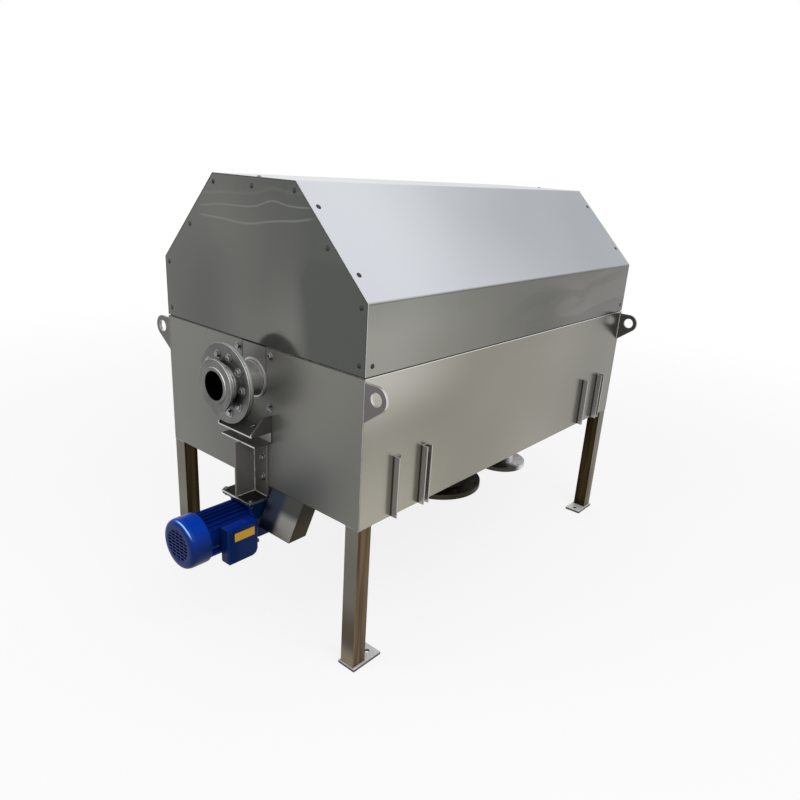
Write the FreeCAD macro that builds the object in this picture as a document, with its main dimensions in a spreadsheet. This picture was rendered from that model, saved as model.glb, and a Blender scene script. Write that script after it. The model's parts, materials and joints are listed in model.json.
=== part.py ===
"""Rotary drum screen: internally fed drum on a fixed hollow axle, in a tank on legs.

Frame, in millimetres: +X runs from the drive end to the far end, +Y is the side
without outlets, +Z is up. The origin is on the floor, amid the four anchor holes.
"""

import FreeCAD, Part
import math
import os
import Sketcher

# Driving sizes, in millimetres. Counts have no unit.
SIZES = {
    # tank
    "tank_length": "1800",
    "tank_width": "1046",
    "drum_floor_gap": "42",
    "ground_clearance": "549",
    "tank_sheet": "3",
    "rim_width": "34",
    "rim_thickness": "4",
    "axis_drop": "120",
    "gasket_thickness": "4",
    "gasket_inset": "5",
    "gasket_width": "20",
    # hood
    "hood_height": "536",
    "hood_side_height": "224",
    "hood_top_width": "417",
    "hood_sheet": "2",
    "hood_seat_gap": "0.3",
    "hood_return": "24",
    "hood_screw_radius": "6",
    "hood_screw_head": "3",
    "hood_screw_edge": "26",
    "hood_screw_inset": "30",
    "hood_screw_top": "29",
    "hood_screw_under": "17",
    "hood_screw_low": "35",
    "hood_screw_share": "0.22",
    "hood_screw_half": "204",
    "hood_screw_mid_y": "352",
    "hood_screw_mid_z": "357",
    # legs and feet
    "leg_side": "60",
    "leg_wall": "3",
    "foot_length": "136",
    "foot_width": "77",
    "foot_thickness": "10",
    "foot_overhang": "3",
    "anchor_inset": "103",
    "anchor_radius": "9",
    # lifting lugs
    "lug_thickness": "10",
    "lug_reach": "48",
    "lug_tip_radius": "41",
    "lug_hole_radius": "22",
    "lug_top_drop": "10",
    "lug_height": "128",
    # cleats on the long sides
    "cleat_top_drop": "291",
    "cleat_near": "153",
    "cleat_far": "311",
    "cleat_depth": "25",
    "cleat_width": "30",
    "cleat_thickness": "5",
    "cleat_bolt_inset": "22",
    # fixed hollow axle and inlet
    "axle_radius": "61",
    "axle_bore": "50",
    "axle_reach_out": "106",
    "axle_reach_in": "1300",
    "window_length": "150",
    "window_width": "50",
    "window_gap": "75",
    "notch_clearance": "4",
    "notch_gap": "1",
    "collar_radius": "71",
    "collar_width": "6",
    "flange_radius": "137",
    "pipe_flange_thickness": "10",
    "spool_flange_thickness": "8",
    "flange_bolt_circle": "100",
    "flange_bolt_count": "10",
    "spool_length": "36",
    "spool_bore": "49.5",
    "neck_radius": "67",
    "neck_ring_radius": "77",
    "neck_ring_offset": "7.8",
    "neck_ring_width": "7.8",
    "inlet_flange_radius": "89",
    "inlet_flange_thickness": "10",
    "inlet_face_radius": "62",
    "inlet_face_height": "3",
    "holder_width": "216",
    "holder_height": "232",
    "holder_thickness": "12",
    "holder_bolt_y": "86",
    "holder_bolt_z": "92",
    # drum
    "drum_radius": "345",
    "screen_thickness": "3",
    "drum_front_inset": "102",
    "drum_rear_inset": "94",
    "hoop_height": "7",
    "hoop_width": "14",
    "hoop_count": "3",
    "flight_height": "52",
    "flight_pitch": "300",
    "flight_thickness": "4",
    "spoke_count": "6",
    "spoke_width": "46",
    "spoke_tip_width": "32.2",
    "spoke_thickness": "10",
    "spider_rim": "6",
    "spider_rim_width": "26",
    "hub_wall": "12",
    "hub_gap": "2",
    "bush_wall": "8",
    "running_clearance": "0.05",
    "head_thickness": "6",
    "head_boss_radius": "58",
    "head_boss_length": "40",
    "rear_shaft_radius": "30",
    "shaft_chamfer": "2",
    "rear_shaft_overhang": "56",
    # inner plates
    "partition_inset": "128",
    "partition_clearance": "6",
    "guard_depth": "93",
    "guard_sheet": "2",
    "guard_top_half": "125",
    "guard_foot_half": "84",
    "guard_shoulder": "330",
    # chain drive
    "chain_pitch": "25.4",
    "drive_drop": "141",
    "roller_radius": "7.94",
    "drum_teeth": "24",
    "drive_teeth": "12",
    "sprocket_width": "16.2",
    "chain_inset": "75",
    "link_plate": "3",
    "link_half_height": "10.5",
    "tooth_clearance": "0.85",
    "tooth_height": "5.5",
    "tooth_mouth_ratio": "1.5",
    "tooth_cut_margin": "1.7",
    "output_shaft_radius": "17.5",
    "output_shaft_depth": "25",
    "output_shaft_overhang": "8",
    "drive_hub_radius": "26",
    "drive_hub_length": "9",
    # motor bracket
    "plate_thickness": "8",
    "plate_half_width": "81",
    "plate_reach_out": "91",
    "plate_reach_in": "52",
    "chain_slot_half": "80",
    "chain_slot_front": "56",
    "chain_slot_rear": "94",
    "post_half_width": "74",
    "post_reach": "88",
    "shelf_drop": "293",
    "shelf_half_width": "94",
    "shelf_reach": "88",
    "shelf_plate": "6",
    "shelf_depth": "47",
    "shelf_lower_reach": "75",
    "gusset_rise": "55",
    "gusset_flat": "38",
    "post_bolt_y": "52",
    "post_bolt_upper": "60",
    "post_bolt_lower": "137",
    "shelf_bolt_x": "22",
    "shelf_bolt_y": "19",
    # fasteners
    "bolt_head_radius": "11",
    "bolt_head_height": "7.5",
    "nut_height": "10",
    "small_head_radius": "7.5",
    "small_head_height": "5.3",
    # gearmotor
    "shaft_height": "94",
    "gearbox_reach_out": "60",
    "gearbox_reach_in": "31",
    "gearbox_half_width": "74",
    "gearbox_below": "50",
    "gearbox_foot": "8",
    "gearbox_foot_bolt_x": "10",
    "gearbox_foot_bolt_out": "14",
    "gearbox_foot_bolt_y": "73",
    "motor_flange_radius": "80",
    "motor_flange_thickness": "14",
    "motor_core_radius": "68",
    "motor_core_end": "268",
    "fin_height": "14",
    "fin_sink": "2.72",
    "fin_thickness": "3",
    "fin_count": "30",
    "fin_omitted": "5",
    "shield_width": "12",
    "seat_gap": "0.3",
    "cowl_radius": "90",
    "cowl_wall": "1.6",
    "cowl_start": "250",
    "cowl_end": "326",
    "cowl_edge": "15",
    "cowl_shoulder": "4.5",
    "cowl_grille_radius": "50",
    "cowl_slot_width": "6",
    "cowl_slot_step": "13",
    "fan_radius": "78",
    "fan_width": "20",
    "fan_hub_radius": "18",
    "fan_blade_root": "16.2",
    "fan_disc_radius": "62.4",
    "fan_blades": "8",
    "fan_shaft_radius": "12",
    "fan_shaft_depth": "30",
    "gearbox_round": "17",
    "box_far": "212",
    "box_near": "92",
    "box_face": "128",
    "box_seat": "82",
    "box_above": "59",
    "box_below": "73",
    "box_corner": "22",
    "box_chamfer": "6.6",
    "lid_thickness": "7",
    "box_pad": "84",
    "gland_radius": "11",
    "gland_cap_radius": "8.8",
    "gland_bore": "5.5",
    "gland_length": "18",
    # chute and outlets
    "chute_near": "95",
    "chute_far": "261",
    "chute_drop": "130",
    "chute_lean": "66",
    "chute_depth": "77",
    "chute_sheet": "2",
    "outlet_side_inset": "135",
    "filtrate_inset": "581",
    "filtrate_pipe_radius": "109.5",
    "filtrate_flange_radius": "170",
    "filtrate_flange_thickness": "20",
    "filtrate_drop": "54",
    "filtrate_bolt_circle": "147.5",
    "filtrate_bolt_radius": "11",
    "drain_inset": "1043",
    "drain_pipe_radius": "57",
    "drain_flange_radius": "110",
    "drain_flange_thickness": "18",
    "drain_drop": "112",
    "drain_bolt_circle": "90",
    "drain_bolt_radius": "9",
    "outlet_wall": "3",
    "outlet_bolt_count": "8",
    # rear bearing
    "bearing_side": "170",
    "bearing_flange": "14",
    "bearing_length": "44",
    "bearing_boss_radius": "52",
    "bearing_spigot_radius": "47",
    "bearing_bolt_half": "66",
    # spray header
    "spray_pipe_radius": "16.85",
    "spray_pipe_wall": "2.8",
    "spray_offset": "170",
    "spray_rise": "420",
    "spray_end_inset": "54",
    "spray_front_inset": "27",
    "spray_inlet_drop": "70",
    "spray_stub": "15",
    "spray_socket_bore": "15.15",
    "spray_socket_radius": "20",
    "spray_socket_length": "30",
    "nozzle_count": "9",
    "nozzle_radius": "7",
    "nozzle_length": "26",
    "strap_width": "34",
    "strap_thickness": "5",
    "strap_loop_radius": "24",
    "slide_rise": "30",
    "side_slide_rise": "170",
    "slide_sheet": "3",
    "hood_frame_leg": "40",
    "hood_frame_sheet": "3",
}


class Size:
    """A number together with the spreadsheet expression that gives it."""

    def __init__(self, value, text=None):
        self.value = float(value)
        self.text = text if text is not None else "(%r)" % float(value)

    @staticmethod
    def of(other):
        return other if isinstance(other, Size) else Size(other)

    def join(self, other, sign, value):
        return Size(value, "(%s %s %s)" % (self.text, sign, other.text))

    def __add__(self, other):
        other = Size.of(other)
        return self.join(other, "+", self.value + other.value)

    def __sub__(self, other):
        other = Size.of(other)
        return self.join(other, "-", self.value - other.value)

    def __mul__(self, other):
        other = Size.of(other)
        return self.join(other, "*", self.value * other.value)

    def __truediv__(self, other):
        other = Size.of(other)
        return self.join(other, "/", self.value / other.value)

    def __radd__(self, other):
        return Size.of(other) + self

    def __rsub__(self, other):
        return Size.of(other) - self

    def __rmul__(self, other):
        return Size.of(other) * self

    def __rtruediv__(self, other):
        return Size.of(other) / self

    def __neg__(self):
        return Size(-self.value, "(0 - %s)" % self.text)


def root(size):
    """Square root of a Size."""
    return Size(math.sqrt(size.value), "sqrt(%s)" % size.text)


class Sheet:
    """The spreadsheet, read as attributes that are Sizes."""

    def __init__(self, doc, sizes):
        self.cells = doc.addObject("Spreadsheet::Sheet", "Sizes")
        self.rows = 0
        for alias, number in sizes.items():
            self.add(alias, number)

    def add(self, alias, number):
        self.rows += 1
        self.cells.set("A%d" % self.rows, number)
        self.cells.setAlias("A%d" % self.rows, alias)
        setattr(self, alias, Size(float(number), "Sizes.%s" % alias))


def links_needed(distance, pitch, big, small):
    """Links, whole or not, that a chain takes round two sprockets this far apart."""
    lean = math.asin(pitch / 2 * (1 / math.sin(math.pi / big) - 1 / math.sin(math.pi / small)) / distance)
    straight = 2 * distance * math.cos(lean) / pitch
    return straight + big * (0.5 + lean / math.pi) + small * (0.5 - lean / math.pi)


def chain_centre_distance(pitch, links, big, small):
    """Distance between two sprockets that a chain of so many links just closes on."""
    low = pitch * big / math.pi
    high = pitch * links
    for _ in range(60):
        middle = (low + high) / 2
        if links_needed(middle, pitch, big, small) < links:
            low = middle
        else:
            high = middle
    return (low + high) / 2


doc = FreeCAD.newDocument("RotaryDrumScreen")
s = Sheet(doc, SIZES)
chain_drive = (s.chain_pitch.value, s.drum_teeth.value, s.drive_teeth.value)
drive_reach = s.drum_radius + s.drum_floor_gap + s.tank_sheet + s.drive_drop
even_links = 2 * round(links_needed(drive_reach.value, *chain_drive) / 2)
s.add("chain_links", "%d" % even_links)
s.add("chain_centres", "%.5f" % chain_centre_distance(chain_drive[0], even_links, *chain_drive[1:]))
doc.recompute()

# Levels and stations that several pieces share
FRONT = -s.tank_length / 2
REAR = s.tank_length / 2
SIDE = s.tank_width / 2
BOTTOM = s.ground_clearance
SPLIT = s.ground_clearance + s.tank_sheet + s.drum_floor_gap + s.drum_radius + s.axis_drop
AXIS = SPLIT - s.axis_drop
FLOOR_TOP = BOTTOM + s.tank_sheet
MOTOR_AXIS = AXIS - s.chain_centres
PLATE_UNDER = MOTOR_AXIS + s.shaft_height
PLATE_TOP = PLATE_UNDER + s.plate_thickness
SHELF_TOP = SPLIT - s.shelf_drop
SHELF_UNDER = SHELF_TOP - s.shelf_depth
HOOD_BASE = SPLIT + s.gasket_thickness + s.hood_seat_gap
CHAIN_X = FRONT + s.chain_inset
DRUM_FRONT = FRONT + s.drum_front_inset
DRUM_REAR = REAR - s.drum_rear_inset
DRUM_INNER = s.drum_radius - s.screen_thickness
HUB_BORE = s.axle_radius + s.running_clearance + s.bush_wall
HUB_OUTER = HUB_BORE + s.hub_wall
HUB_START = FRONT + s.tank_sheet + s.holder_thickness + s.hub_gap
NOTCH_HALF = s.axle_radius + s.notch_clearance
REAR_NOTCH_HALF = s.bearing_spigot_radius + s.notch_gap

BIG_PITCH_RADIUS = Size(s.chain_pitch.value / 2 / math.sin(math.pi / s.drum_teeth.value))
SMALL_PITCH_RADIUS = Size(s.chain_pitch.value / 2 / math.sin(math.pi / s.drive_teeth.value))

NODES = []


def node(name, thing):
    """Register a finished sub-part under its name."""
    thing.Label = name
    NODES.append(thing)
    return thing


def bind(thing, prop, size):
    """Give a property its number from the spreadsheet."""
    thing.setExpression(prop, Size.of(size).text)


def body(name, height=None, station=None):
    """A new body; height lifts its own X axis, for turned pieces, and station moves it along X."""
    thing = doc.addObject("PartDesign::Body", name)
    if height is not None:
        bind(thing, "Placement.Base.z", height)
    if station is not None:
        bind(thing, "Placement.Base.x", station)
    return thing


def origin_item(thing, role):
    """A plane or axis of a body's own origin."""
    return [item for item in thing.Origin.OriginFeatures if item.Role == role][0]


PLANES = {"X": "YZ_Plane", "Y": "XZ_Plane", "Z": "XY_Plane"}


def sketch(thing, axis, offset):
    """An empty sketch square to an axis, offset along its own normal."""
    drawing = thing.newObject("Sketcher::SketchObject", "Sketch")
    drawing.AttachmentSupport = [(origin_item(thing, PLANES[axis]), "")]
    drawing.MapMode = "FlatFace"
    bind(drawing, "AttachmentOffset.Base.z", offset)
    return drawing


def pin_point(drawing, edge, end, point):
    """Hold one end of an edge at a place given by two Sizes."""
    for kind, size in (("DistanceX", point[0]), ("DistanceY", point[1])):
        size = Size.of(size)
        rule = drawing.addConstraint(Sketcher.Constraint(kind, -1, 1, edge, end, size.value))
        drawing.setExpression("Constraints[%d]" % rule, size.text)


def draw_outline(drawing, points):
    """A closed outline of straight edges."""
    places = [FreeCAD.Vector(Size.of(a).value, Size.of(b).value, 0) for a, b in points]
    first = drawing.GeometryCount
    total = len(places)
    for index, start in enumerate(places):
        drawing.addGeometry(Part.LineSegment(start, places[(index + 1) % total]), False)
    for index in range(total):
        after = first + (index + 1) % total
        drawing.addConstraint(Sketcher.Constraint("Coincident", first + index, 2, after, 1))
    for index, point in enumerate(points):
        pin_point(drawing, first + index, 1, point)


def draw_circle(drawing, centre, radius):
    """A circle at a place given by two Sizes."""
    radius = Size.of(radius)
    middle = FreeCAD.Vector(Size.of(centre[0]).value, Size.of(centre[1]).value, 0)
    edge = drawing.addGeometry(Part.Circle(middle, FreeCAD.Vector(0, 0, 1), radius.value), False)
    pin_point(drawing, edge, 3, centre)
    rule = drawing.addConstraint(Sketcher.Constraint("Radius", edge, radius.value))
    drawing.setExpression("Constraints[%d]" % rule, radius.text)


def draw(drawing, outlines=(), circles=()):
    for points in outlines:
        draw_outline(drawing, points)
    for centre, radius in circles:
        draw_circle(drawing, centre, radius)


def slab(thing, axis, low, high, outlines=(), circles=()):
    """Solid from low to high along an axis."""
    low, high = Size.of(low), Size.of(high)
    offset = -high if axis == "Y" else low
    drawing = sketch(thing, axis, offset)
    draw(drawing, outlines, circles)
    pad = thing.newObject("PartDesign::Pad", "Pad")
    pad.Profile = drawing
    bind(pad, "Length", high - low)
    thing.Tip = pad
    return pad


def cut(thing, axis, low, high, outlines=(), circles=()):
    """Opening from low to high along an axis."""
    low, high = Size.of(low), Size.of(high)
    offset = -low if axis == "Y" else high
    drawing = sketch(thing, axis, offset)
    draw(drawing, outlines, circles)
    pocket = thing.newObject("PartDesign::Pocket", "Pocket")
    pocket.Profile = drawing
    bind(pocket, "Length", high - low)
    thing.Tip = pocket
    return pocket


def turn(thing, points):
    """Solid of revolution about the body's own X axis, from (x, radius) points."""
    drawing = sketch(thing, "Y", 0)
    draw_outline(drawing, points)
    spin = thing.newObject("PartDesign::Revolution", "Revolution")
    spin.Profile = drawing
    spin.ReferenceAxis = (origin_item(thing, "X_Axis"), [""])
    spin.Angle = 360
    thing.Tip = spin
    return spin


def polar(thing, features, count, angle=360):
    """Repeat features round the body's own X axis."""
    pattern = thing.newObject("PartDesign::PolarPattern", "PolarPattern")
    pattern.Originals = features
    pattern.Axis = (origin_item(thing, "X_Axis"), [""])
    bind(pattern, "Angle", angle)
    bind(pattern, "Occurrences", count)
    thing.Tip = pattern
    return pattern


def box(y_low, y_high, z_low, z_high):
    """The four corners of a rectangle."""
    return [(y_low, z_low), (y_high, z_low), (y_high, z_high), (y_low, z_high)]


def hexagon(centre, radius):
    """Six corners round a centre, a flat to each side."""
    corners = []
    for step in range(6):
        angle = math.radians(60 * step + 30)
        corners.append((
            centre[0] + radius * round(math.cos(angle), 6),
            centre[1] + radius * round(math.sin(angle), 6),
        ))
    return corners


def ring_places(radius, count, start_degrees=0.0, centre=(0, 0)):
    """Evenly spaced places on a circle."""
    places = []
    for index in range(int(round(Size.of(count).value))):
        angle = math.radians(start_degrees) + 2 * math.pi * index / Size.of(count).value
        places.append((
            centre[0] + radius * round(math.cos(angle), 9),
            centre[1] + radius * round(math.sin(angle), 9),
        ))
    return places


def add_heads(thing, axis, places, head, seat, big=True):
    """Hex heads on a seat."""
    head_radius = s.bolt_head_radius if big else s.small_head_radius
    low, high = (head, seat) if head.value < seat.value else (seat, head)
    slab(thing, axis, low, high, outlines=[hexagon(place, head_radius) for place in places])


def frame_bolts():
    """Heads of the large bolts on both end walls."""
    thing = body("frame_bolts")
    height = s.bolt_head_height
    add_heads(thing, "X", HOLDER_BOLTS, FRONT - height, FRONT)
    post_face = FRONT - s.plate_thickness
    add_heads(thing, "X", POST_BOLTS, post_face - height, post_face)
    bearing_face = REAR + s.bearing_flange
    add_heads(thing, "X", BEARING_BOLTS, bearing_face + height, bearing_face)
    return node("frame_bolts", thing)


def small_bolts():
    """Heads of the small bolts on the shelf, the motor plate and the channels."""
    thing = body("small_bolts")
    height = s.small_head_height
    add_heads(thing, "Z", FOOT_BOLTS, PLATE_TOP + height, PLATE_TOP, big=False)
    shelf_place = (FRONT - s.shelf_bolt_x, -s.shelf_bolt_y)
    add_heads(thing, "Z", [shelf_place], SHELF_TOP + height, SHELF_TOP, big=False)
    seat = SIDE + s.cleat_thickness
    places = [
        (station, level)
        for station in (FRONT + s.cleat_far, REAR - s.cleat_near)
        for level in (BOTTOM + s.cleat_bolt_inset, SPLIT - s.cleat_top_drop - s.cleat_bolt_inset)
    ]
    add_heads(thing, "Y", places, seat + height, seat, big=False)
    add_heads(thing, "Y", places, -seat - height, -seat, big=False)
    return node("small_bolts", thing)


def flange_bolts():
    """Bolt heads in front of the inlet's flanges and nuts behind them."""
    thing = body("flange_bolts")
    back = FRONT - s.axle_reach_out
    add_heads(thing, "X", FLANGE_BOLTS, SPOOL_FACE - s.bolt_head_height, SPOOL_FACE)
    add_heads(thing, "X", FLANGE_BOLTS, back + s.nut_height, back)
    return node("flange_bolts", thing)


# Tank

HOLDER_BOLTS = [
    (side * s.holder_bolt_y, AXIS + up * s.holder_bolt_z) for side in (-1, 1) for up in (-1, 1)
]
POST_BOLTS = [
    (side * s.post_bolt_y, SHELF_UNDER - drop)
    for side in (-1, 1) for drop in (s.post_bolt_upper, s.post_bolt_lower)
]
BEARING_BOLTS = [
    (side * s.bearing_bolt_half, AXIS + up * s.bearing_bolt_half)
    for side in (-1, 1) for up in (-1, 1)
]
SPRAY_INLET = (s.spray_offset, SPLIT - s.spray_inlet_drop)


def end_wall(name, low, high, notch_half, holes):
    """End sheet with a notch open at the top, so that the drum lifts out with its axle."""
    thing = body(name)
    slab(thing, "X", low, high, outlines=[box(-SIDE, SIDE, BOTTOM, SPLIT)])
    cut(thing, "X", low, high, outlines=[box(-notch_half, notch_half, AXIS, SPLIT)])
    cut(thing, "X", low, high, circles=[((0, AXIS), notch_half)])
    if holes:
        cut(thing, "X", low, high, circles=holes)
    return node(name, thing)


def notch_cover(name, low, high, notch_half, lower_radius):
    """Flush plate that closes a notch above the round piece in it."""
    thing = body(name)
    half = notch_half - s.notch_gap
    slab(thing, "X", low, high, outlines=[box(-half, half, AXIS, SPLIT - s.notch_gap)])
    cut(thing, "X", low, high, circles=[((0, AXIS), lower_radius + s.hood_seat_gap)])
    return node(name, thing)


def side_wall(name, side):
    """Long side sheet, between the end sheets."""
    thing = body(name)
    outer = side * SIDE
    inner = side * (SIDE - s.tank_sheet)
    low, high = (outer, inner) if side < 0 else (inner, outer)
    slab(thing, "Y", low, high, outlines=[box(FRONT + s.tank_sheet, REAR - s.tank_sheet, BOTTOM, SPLIT)])
    return node(name, thing)


def tank_floor():
    """Bottom sheet with the chain slot, the chute mouth and the two outlet holes."""
    thing = body("tank_floor")
    inner = SIDE - s.tank_sheet
    slab(thing, "Z", BOTTOM, FLOOR_TOP, outlines=[
        box(FRONT + s.tank_sheet, REAR - s.tank_sheet, -inner, inner)
    ])
    cut(thing, "Z", BOTTOM, FLOOR_TOP, outlines=[
        box(FRONT + s.chain_slot_front, FRONT + s.chain_slot_rear, -s.chain_slot_half, s.chain_slot_half),
        box(
            FRONT + s.tank_sheet + s.chute_sheet, FRONT + s.chute_depth - s.chute_sheet,
            s.chute_sheet - s.chute_far, -s.chute_near - s.chute_sheet,
        ),
    ])
    cut(thing, "Z", BOTTOM, FLOOR_TOP, circles=[
        ((FRONT + s.filtrate_inset, s.outlet_side_inset - SIDE), s.filtrate_pipe_radius),
        ((FRONT + s.drain_inset, s.outlet_side_inset - SIDE), s.drain_pipe_radius),
    ])
    return node("tank_floor", thing)


def tank_rim():
    """Flat bars inside the top edge; those at the ends stop at the notches."""
    thing = body("tank_rim")
    outer = SIDE - s.tank_sheet
    inner = SIDE - s.rim_width
    end = REAR - s.tank_sheet
    end_inner = REAR - s.rim_width
    bars = [box(-end, end, side * outer, side * inner) for side in (-1, 1)]
    for side in (-1, 1):
        bars.append(box(-end, -end_inner, side * NOTCH_HALF, side * inner))
        bars.append(box(end_inner, end, side * REAR_NOTCH_HALF, side * inner))
    slab(thing, "Z", SPLIT - s.rim_thickness, SPLIT, outlines=bars)
    return node("tank_rim", thing)


def rim_gasket():
    """Flat rubber frame that the hood rests on."""
    thing = body("rim_gasket")
    outer_x = REAR - s.gasket_inset
    outer_y = SIDE - s.gasket_inset
    inner_x = outer_x - s.gasket_width
    inner_y = outer_y - s.gasket_width
    top = SPLIT + s.gasket_thickness
    slab(thing, "Z", SPLIT, top, outlines=[box(-outer_x, outer_x, -outer_y, outer_y)])
    cut(thing, "Z", SPLIT, top, outlines=[box(-inner_x, inner_x, -inner_y, inner_y)])
    return node("rim_gasket", thing)


def discharge_partition():
    """Cross plate behind the discharge space, open at the top for the drum."""
    thing = body("discharge_partition")
    low = FRONT + s.partition_inset
    high = low + s.tank_sheet
    inner = SIDE - s.tank_sheet
    top = SPLIT - s.rim_thickness
    opening = s.drum_radius + s.hoop_height + s.partition_clearance
    slab(thing, "X", low, high, outlines=[box(-inner, inner, FLOOR_TOP, top)])
    cut(thing, "X", low, high, outlines=[box(-opening, opening, AXIS, top)])
    cut(thing, "X", low, high, circles=[((0, AXIS), opening)])
    return node("discharge_partition", thing)


def chain_guard():
    """Folded case that keeps the chain dry, open to the front wall and at the top."""
    thing = body("chain_guard")
    low = FRONT + s.tank_sheet
    back = low + s.guard_depth
    shoulder = FLOOR_TOP + s.guard_shoulder
    top = SPLIT - s.rim_thickness - s.notch_gap
    half, foot, wall = s.guard_top_half, s.guard_foot_half, s.guard_sheet

    def outline(inset):
        return [
            (inset - foot, FLOOR_TOP), (foot - inset, FLOOR_TOP), (half - inset, shoulder),
            (half - inset, top), (inset - half, top), (inset - half, shoulder),
        ]

    slab(thing, "X", low, back, outlines=[outline(0)])
    cut(thing, "X", low, back - wall, outlines=[outline(wall)])
    opening = HUB_OUTER + s.notch_clearance
    cut(thing, "X", back - wall, back, outlines=[box(-opening, opening, AXIS, top)])
    cut(thing, "X", back - wall, back, circles=[((0, AXIS), opening)])
    return node("chain_guard", thing)


def lifting_lugs():
    """Eye plates welded in the planes of the end walls."""
    thing = body("lifting_lugs")
    top = SPLIT - s.lug_top_drop
    eye = (SIDE + s.lug_reach, top - s.lug_tip_radius)
    toe = top - s.lug_height
    run = eye[0] - SIDE
    rise = eye[1] - toe
    span = run * run + rise * rise
    reach = root(span - s.lug_tip_radius * s.lug_tip_radius)
    touch_y = SIDE + (reach * reach * run + reach * s.lug_tip_radius * rise) / span
    touch_z = toe + (reach * reach * rise - reach * s.lug_tip_radius * run) / span
    corners = [(SIDE, toe), (touch_y, touch_z), eye, (eye[0], top), (SIDE, top)]
    for low in (FRONT, REAR - s.lug_thickness):
        high = low + s.lug_thickness
        slab(thing, "X", low, high, outlines=[
            [(side * y, z) for y, z in corners] for side in (-1, 1)
        ])
        centres = [(side * eye[0], eye[1]) for side in (-1, 1)]
        slab(thing, "X", low, high, circles=[(centre, s.lug_tip_radius) for centre in centres])
        cut(thing, "X", low, high, circles=[(centre, s.lug_hole_radius) for centre in centres])
    return node("lifting_lugs", thing)


def cleats():
    """Two angles and two channels on each long side, for a walkway or pipe supports."""
    thing = body("cleats")
    face = SIDE
    tip = SIDE + s.cleat_depth
    wall = s.cleat_thickness
    half = s.cleat_width / 2
    sections = []
    for station in (FRONT + s.cleat_near, REAR - s.cleat_far):
        sections.append([
            (station, face), (station + s.cleat_width, face), (station + s.cleat_width, face + wall),
            (station + wall, face + wall), (station + wall, tip), (station, tip),
        ])
    for station in (FRONT + s.cleat_far, REAR - s.cleat_near):
        sections.append([
            (station - half, face), (station + half, face), (station + half, tip),
            (station + half - wall, tip), (station + half - wall, face + wall),
            (station - half + wall, face + wall), (station - half + wall, tip), (station - half, tip),
        ])
    slab(thing, "Z", BOTTOM, SPLIT - s.cleat_top_drop, outlines=[
        [(x, side * y) for x, y in section] for section in sections for side in (-1, 1)
    ])
    return node("cleats", thing)


def legs():
    """Square tubes under the corners of the tank."""
    thing = body("legs")
    wall = s.leg_wall
    outlines = []
    for end in (-1, 1):
        for side in (-1, 1):
            for inset in (Size(0), wall):
                outlines.append(box(
                    end * (REAR - inset), end * (REAR - s.leg_side + inset),
                    side * (SIDE - inset), side * (SIDE - s.leg_side + inset),
                ))
    slab(thing, "Z", s.foot_thickness, BOTTOM, outlines=outlines)
    return node("legs", thing)


def foot_plates():
    """Plates under the legs, longer inboard, where their anchor holes are."""
    thing = body("foot_plates")
    middle = SIDE - s.leg_side / 2
    half = s.foot_width / 2
    outer = REAR + s.foot_overhang
    corners = [(end, side) for end in (-1, 1) for side in (-1, 1)]
    slab(thing, "Z", 0, s.foot_thickness, outlines=[
        box(end * outer, end * (outer - s.foot_length), side * middle - half, side * middle + half)
        for end, side in corners
    ])
    cut(thing, "Z", 0, s.foot_thickness, circles=[
        ((end * (REAR - s.anchor_inset), side * middle), s.anchor_radius) for end, side in corners
    ])
    return node("foot_plates", thing)


# Fixed axle and inlet

def tube(name, start, end, inner, outer, height=AXIS):
    """Plain turned ring or tube on the drum axis."""
    thing = body(name, height)
    turn(thing, [(start, inner), (end, inner), (end, outer), (start, outer)])
    return node(name, thing)


FLANGE_BOLTS = ring_places(s.flange_bolt_circle, s.flange_bolt_count, 1.0, (0, AXIS))
SPOOL_SEAT = FRONT - s.axle_reach_out - s.pipe_flange_thickness
SPOOL_FACE = SPOOL_SEAT - s.spool_flange_thickness
INLET_FACE = SPOOL_FACE - s.spool_length


def inlet_spool():
    """Short stepped spool between the axle flange and the supply pipe."""
    thing = body("inlet_spool", AXIS)
    back = INLET_FACE + s.inlet_flange_thickness
    ring_near = back + s.neck_ring_offset
    ring_far = ring_near + s.neck_ring_width
    turn(thing, [
        (INLET_FACE - s.inlet_face_height, s.spool_bore), (SPOOL_SEAT, s.spool_bore),
        (SPOOL_SEAT, s.flange_radius), (SPOOL_FACE, s.flange_radius),
        (SPOOL_FACE, s.neck_radius), (ring_far, s.neck_radius),
        (ring_far, s.neck_ring_radius), (ring_near, s.neck_ring_radius),
        (ring_near, s.neck_radius), (back, s.neck_radius),
        (back, s.inlet_flange_radius), (INLET_FACE, s.inlet_flange_radius),
        (INLET_FACE, s.inlet_face_radius), (INLET_FACE - s.inlet_face_height, s.inlet_face_radius),
    ])
    return node("inlet_spool", thing)


def axle_holder():
    """Square plate inside the front wall that carries the axle."""
    thing = body("axle_holder")
    low = FRONT + s.tank_sheet
    high = low + s.holder_thickness
    half_y, half_z = s.holder_width / 2, s.holder_height / 2
    slab(thing, "X", low, high, outlines=[box(-half_y, half_y, AXIS - half_z, AXIS + half_z)])
    cut(thing, "X", low, high, circles=[((0, AXIS), s.axle_radius)])
    return node("axle_holder", thing)


def hollow_axle():
    """Fixed tube on the drum axis, with its collar and with windows for the feed."""
    thing = body("hollow_axle", AXIS)
    start, end = SPOOL_SEAT, FRONT + s.axle_reach_in
    turn(thing, [
        (start, s.axle_bore), (end, s.axle_bore), (end, s.axle_radius), (FRONT, s.axle_radius),
        (FRONT, s.collar_radius), (FRONT - s.collar_width, s.collar_radius),
        (FRONT - s.collar_width, s.axle_radius), (start, s.axle_radius),
    ])
    half = s.window_width / 2
    windows = []
    for index in range(3):
        high = end - s.window_gap - (s.window_length + s.window_gap) * index
        windows.append(box(high - s.window_length, high, -half, half))
    cut(thing, "Z", -s.axle_radius, 0, outlines=windows)
    return node("hollow_axle", thing)


# Motor bracket

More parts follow.
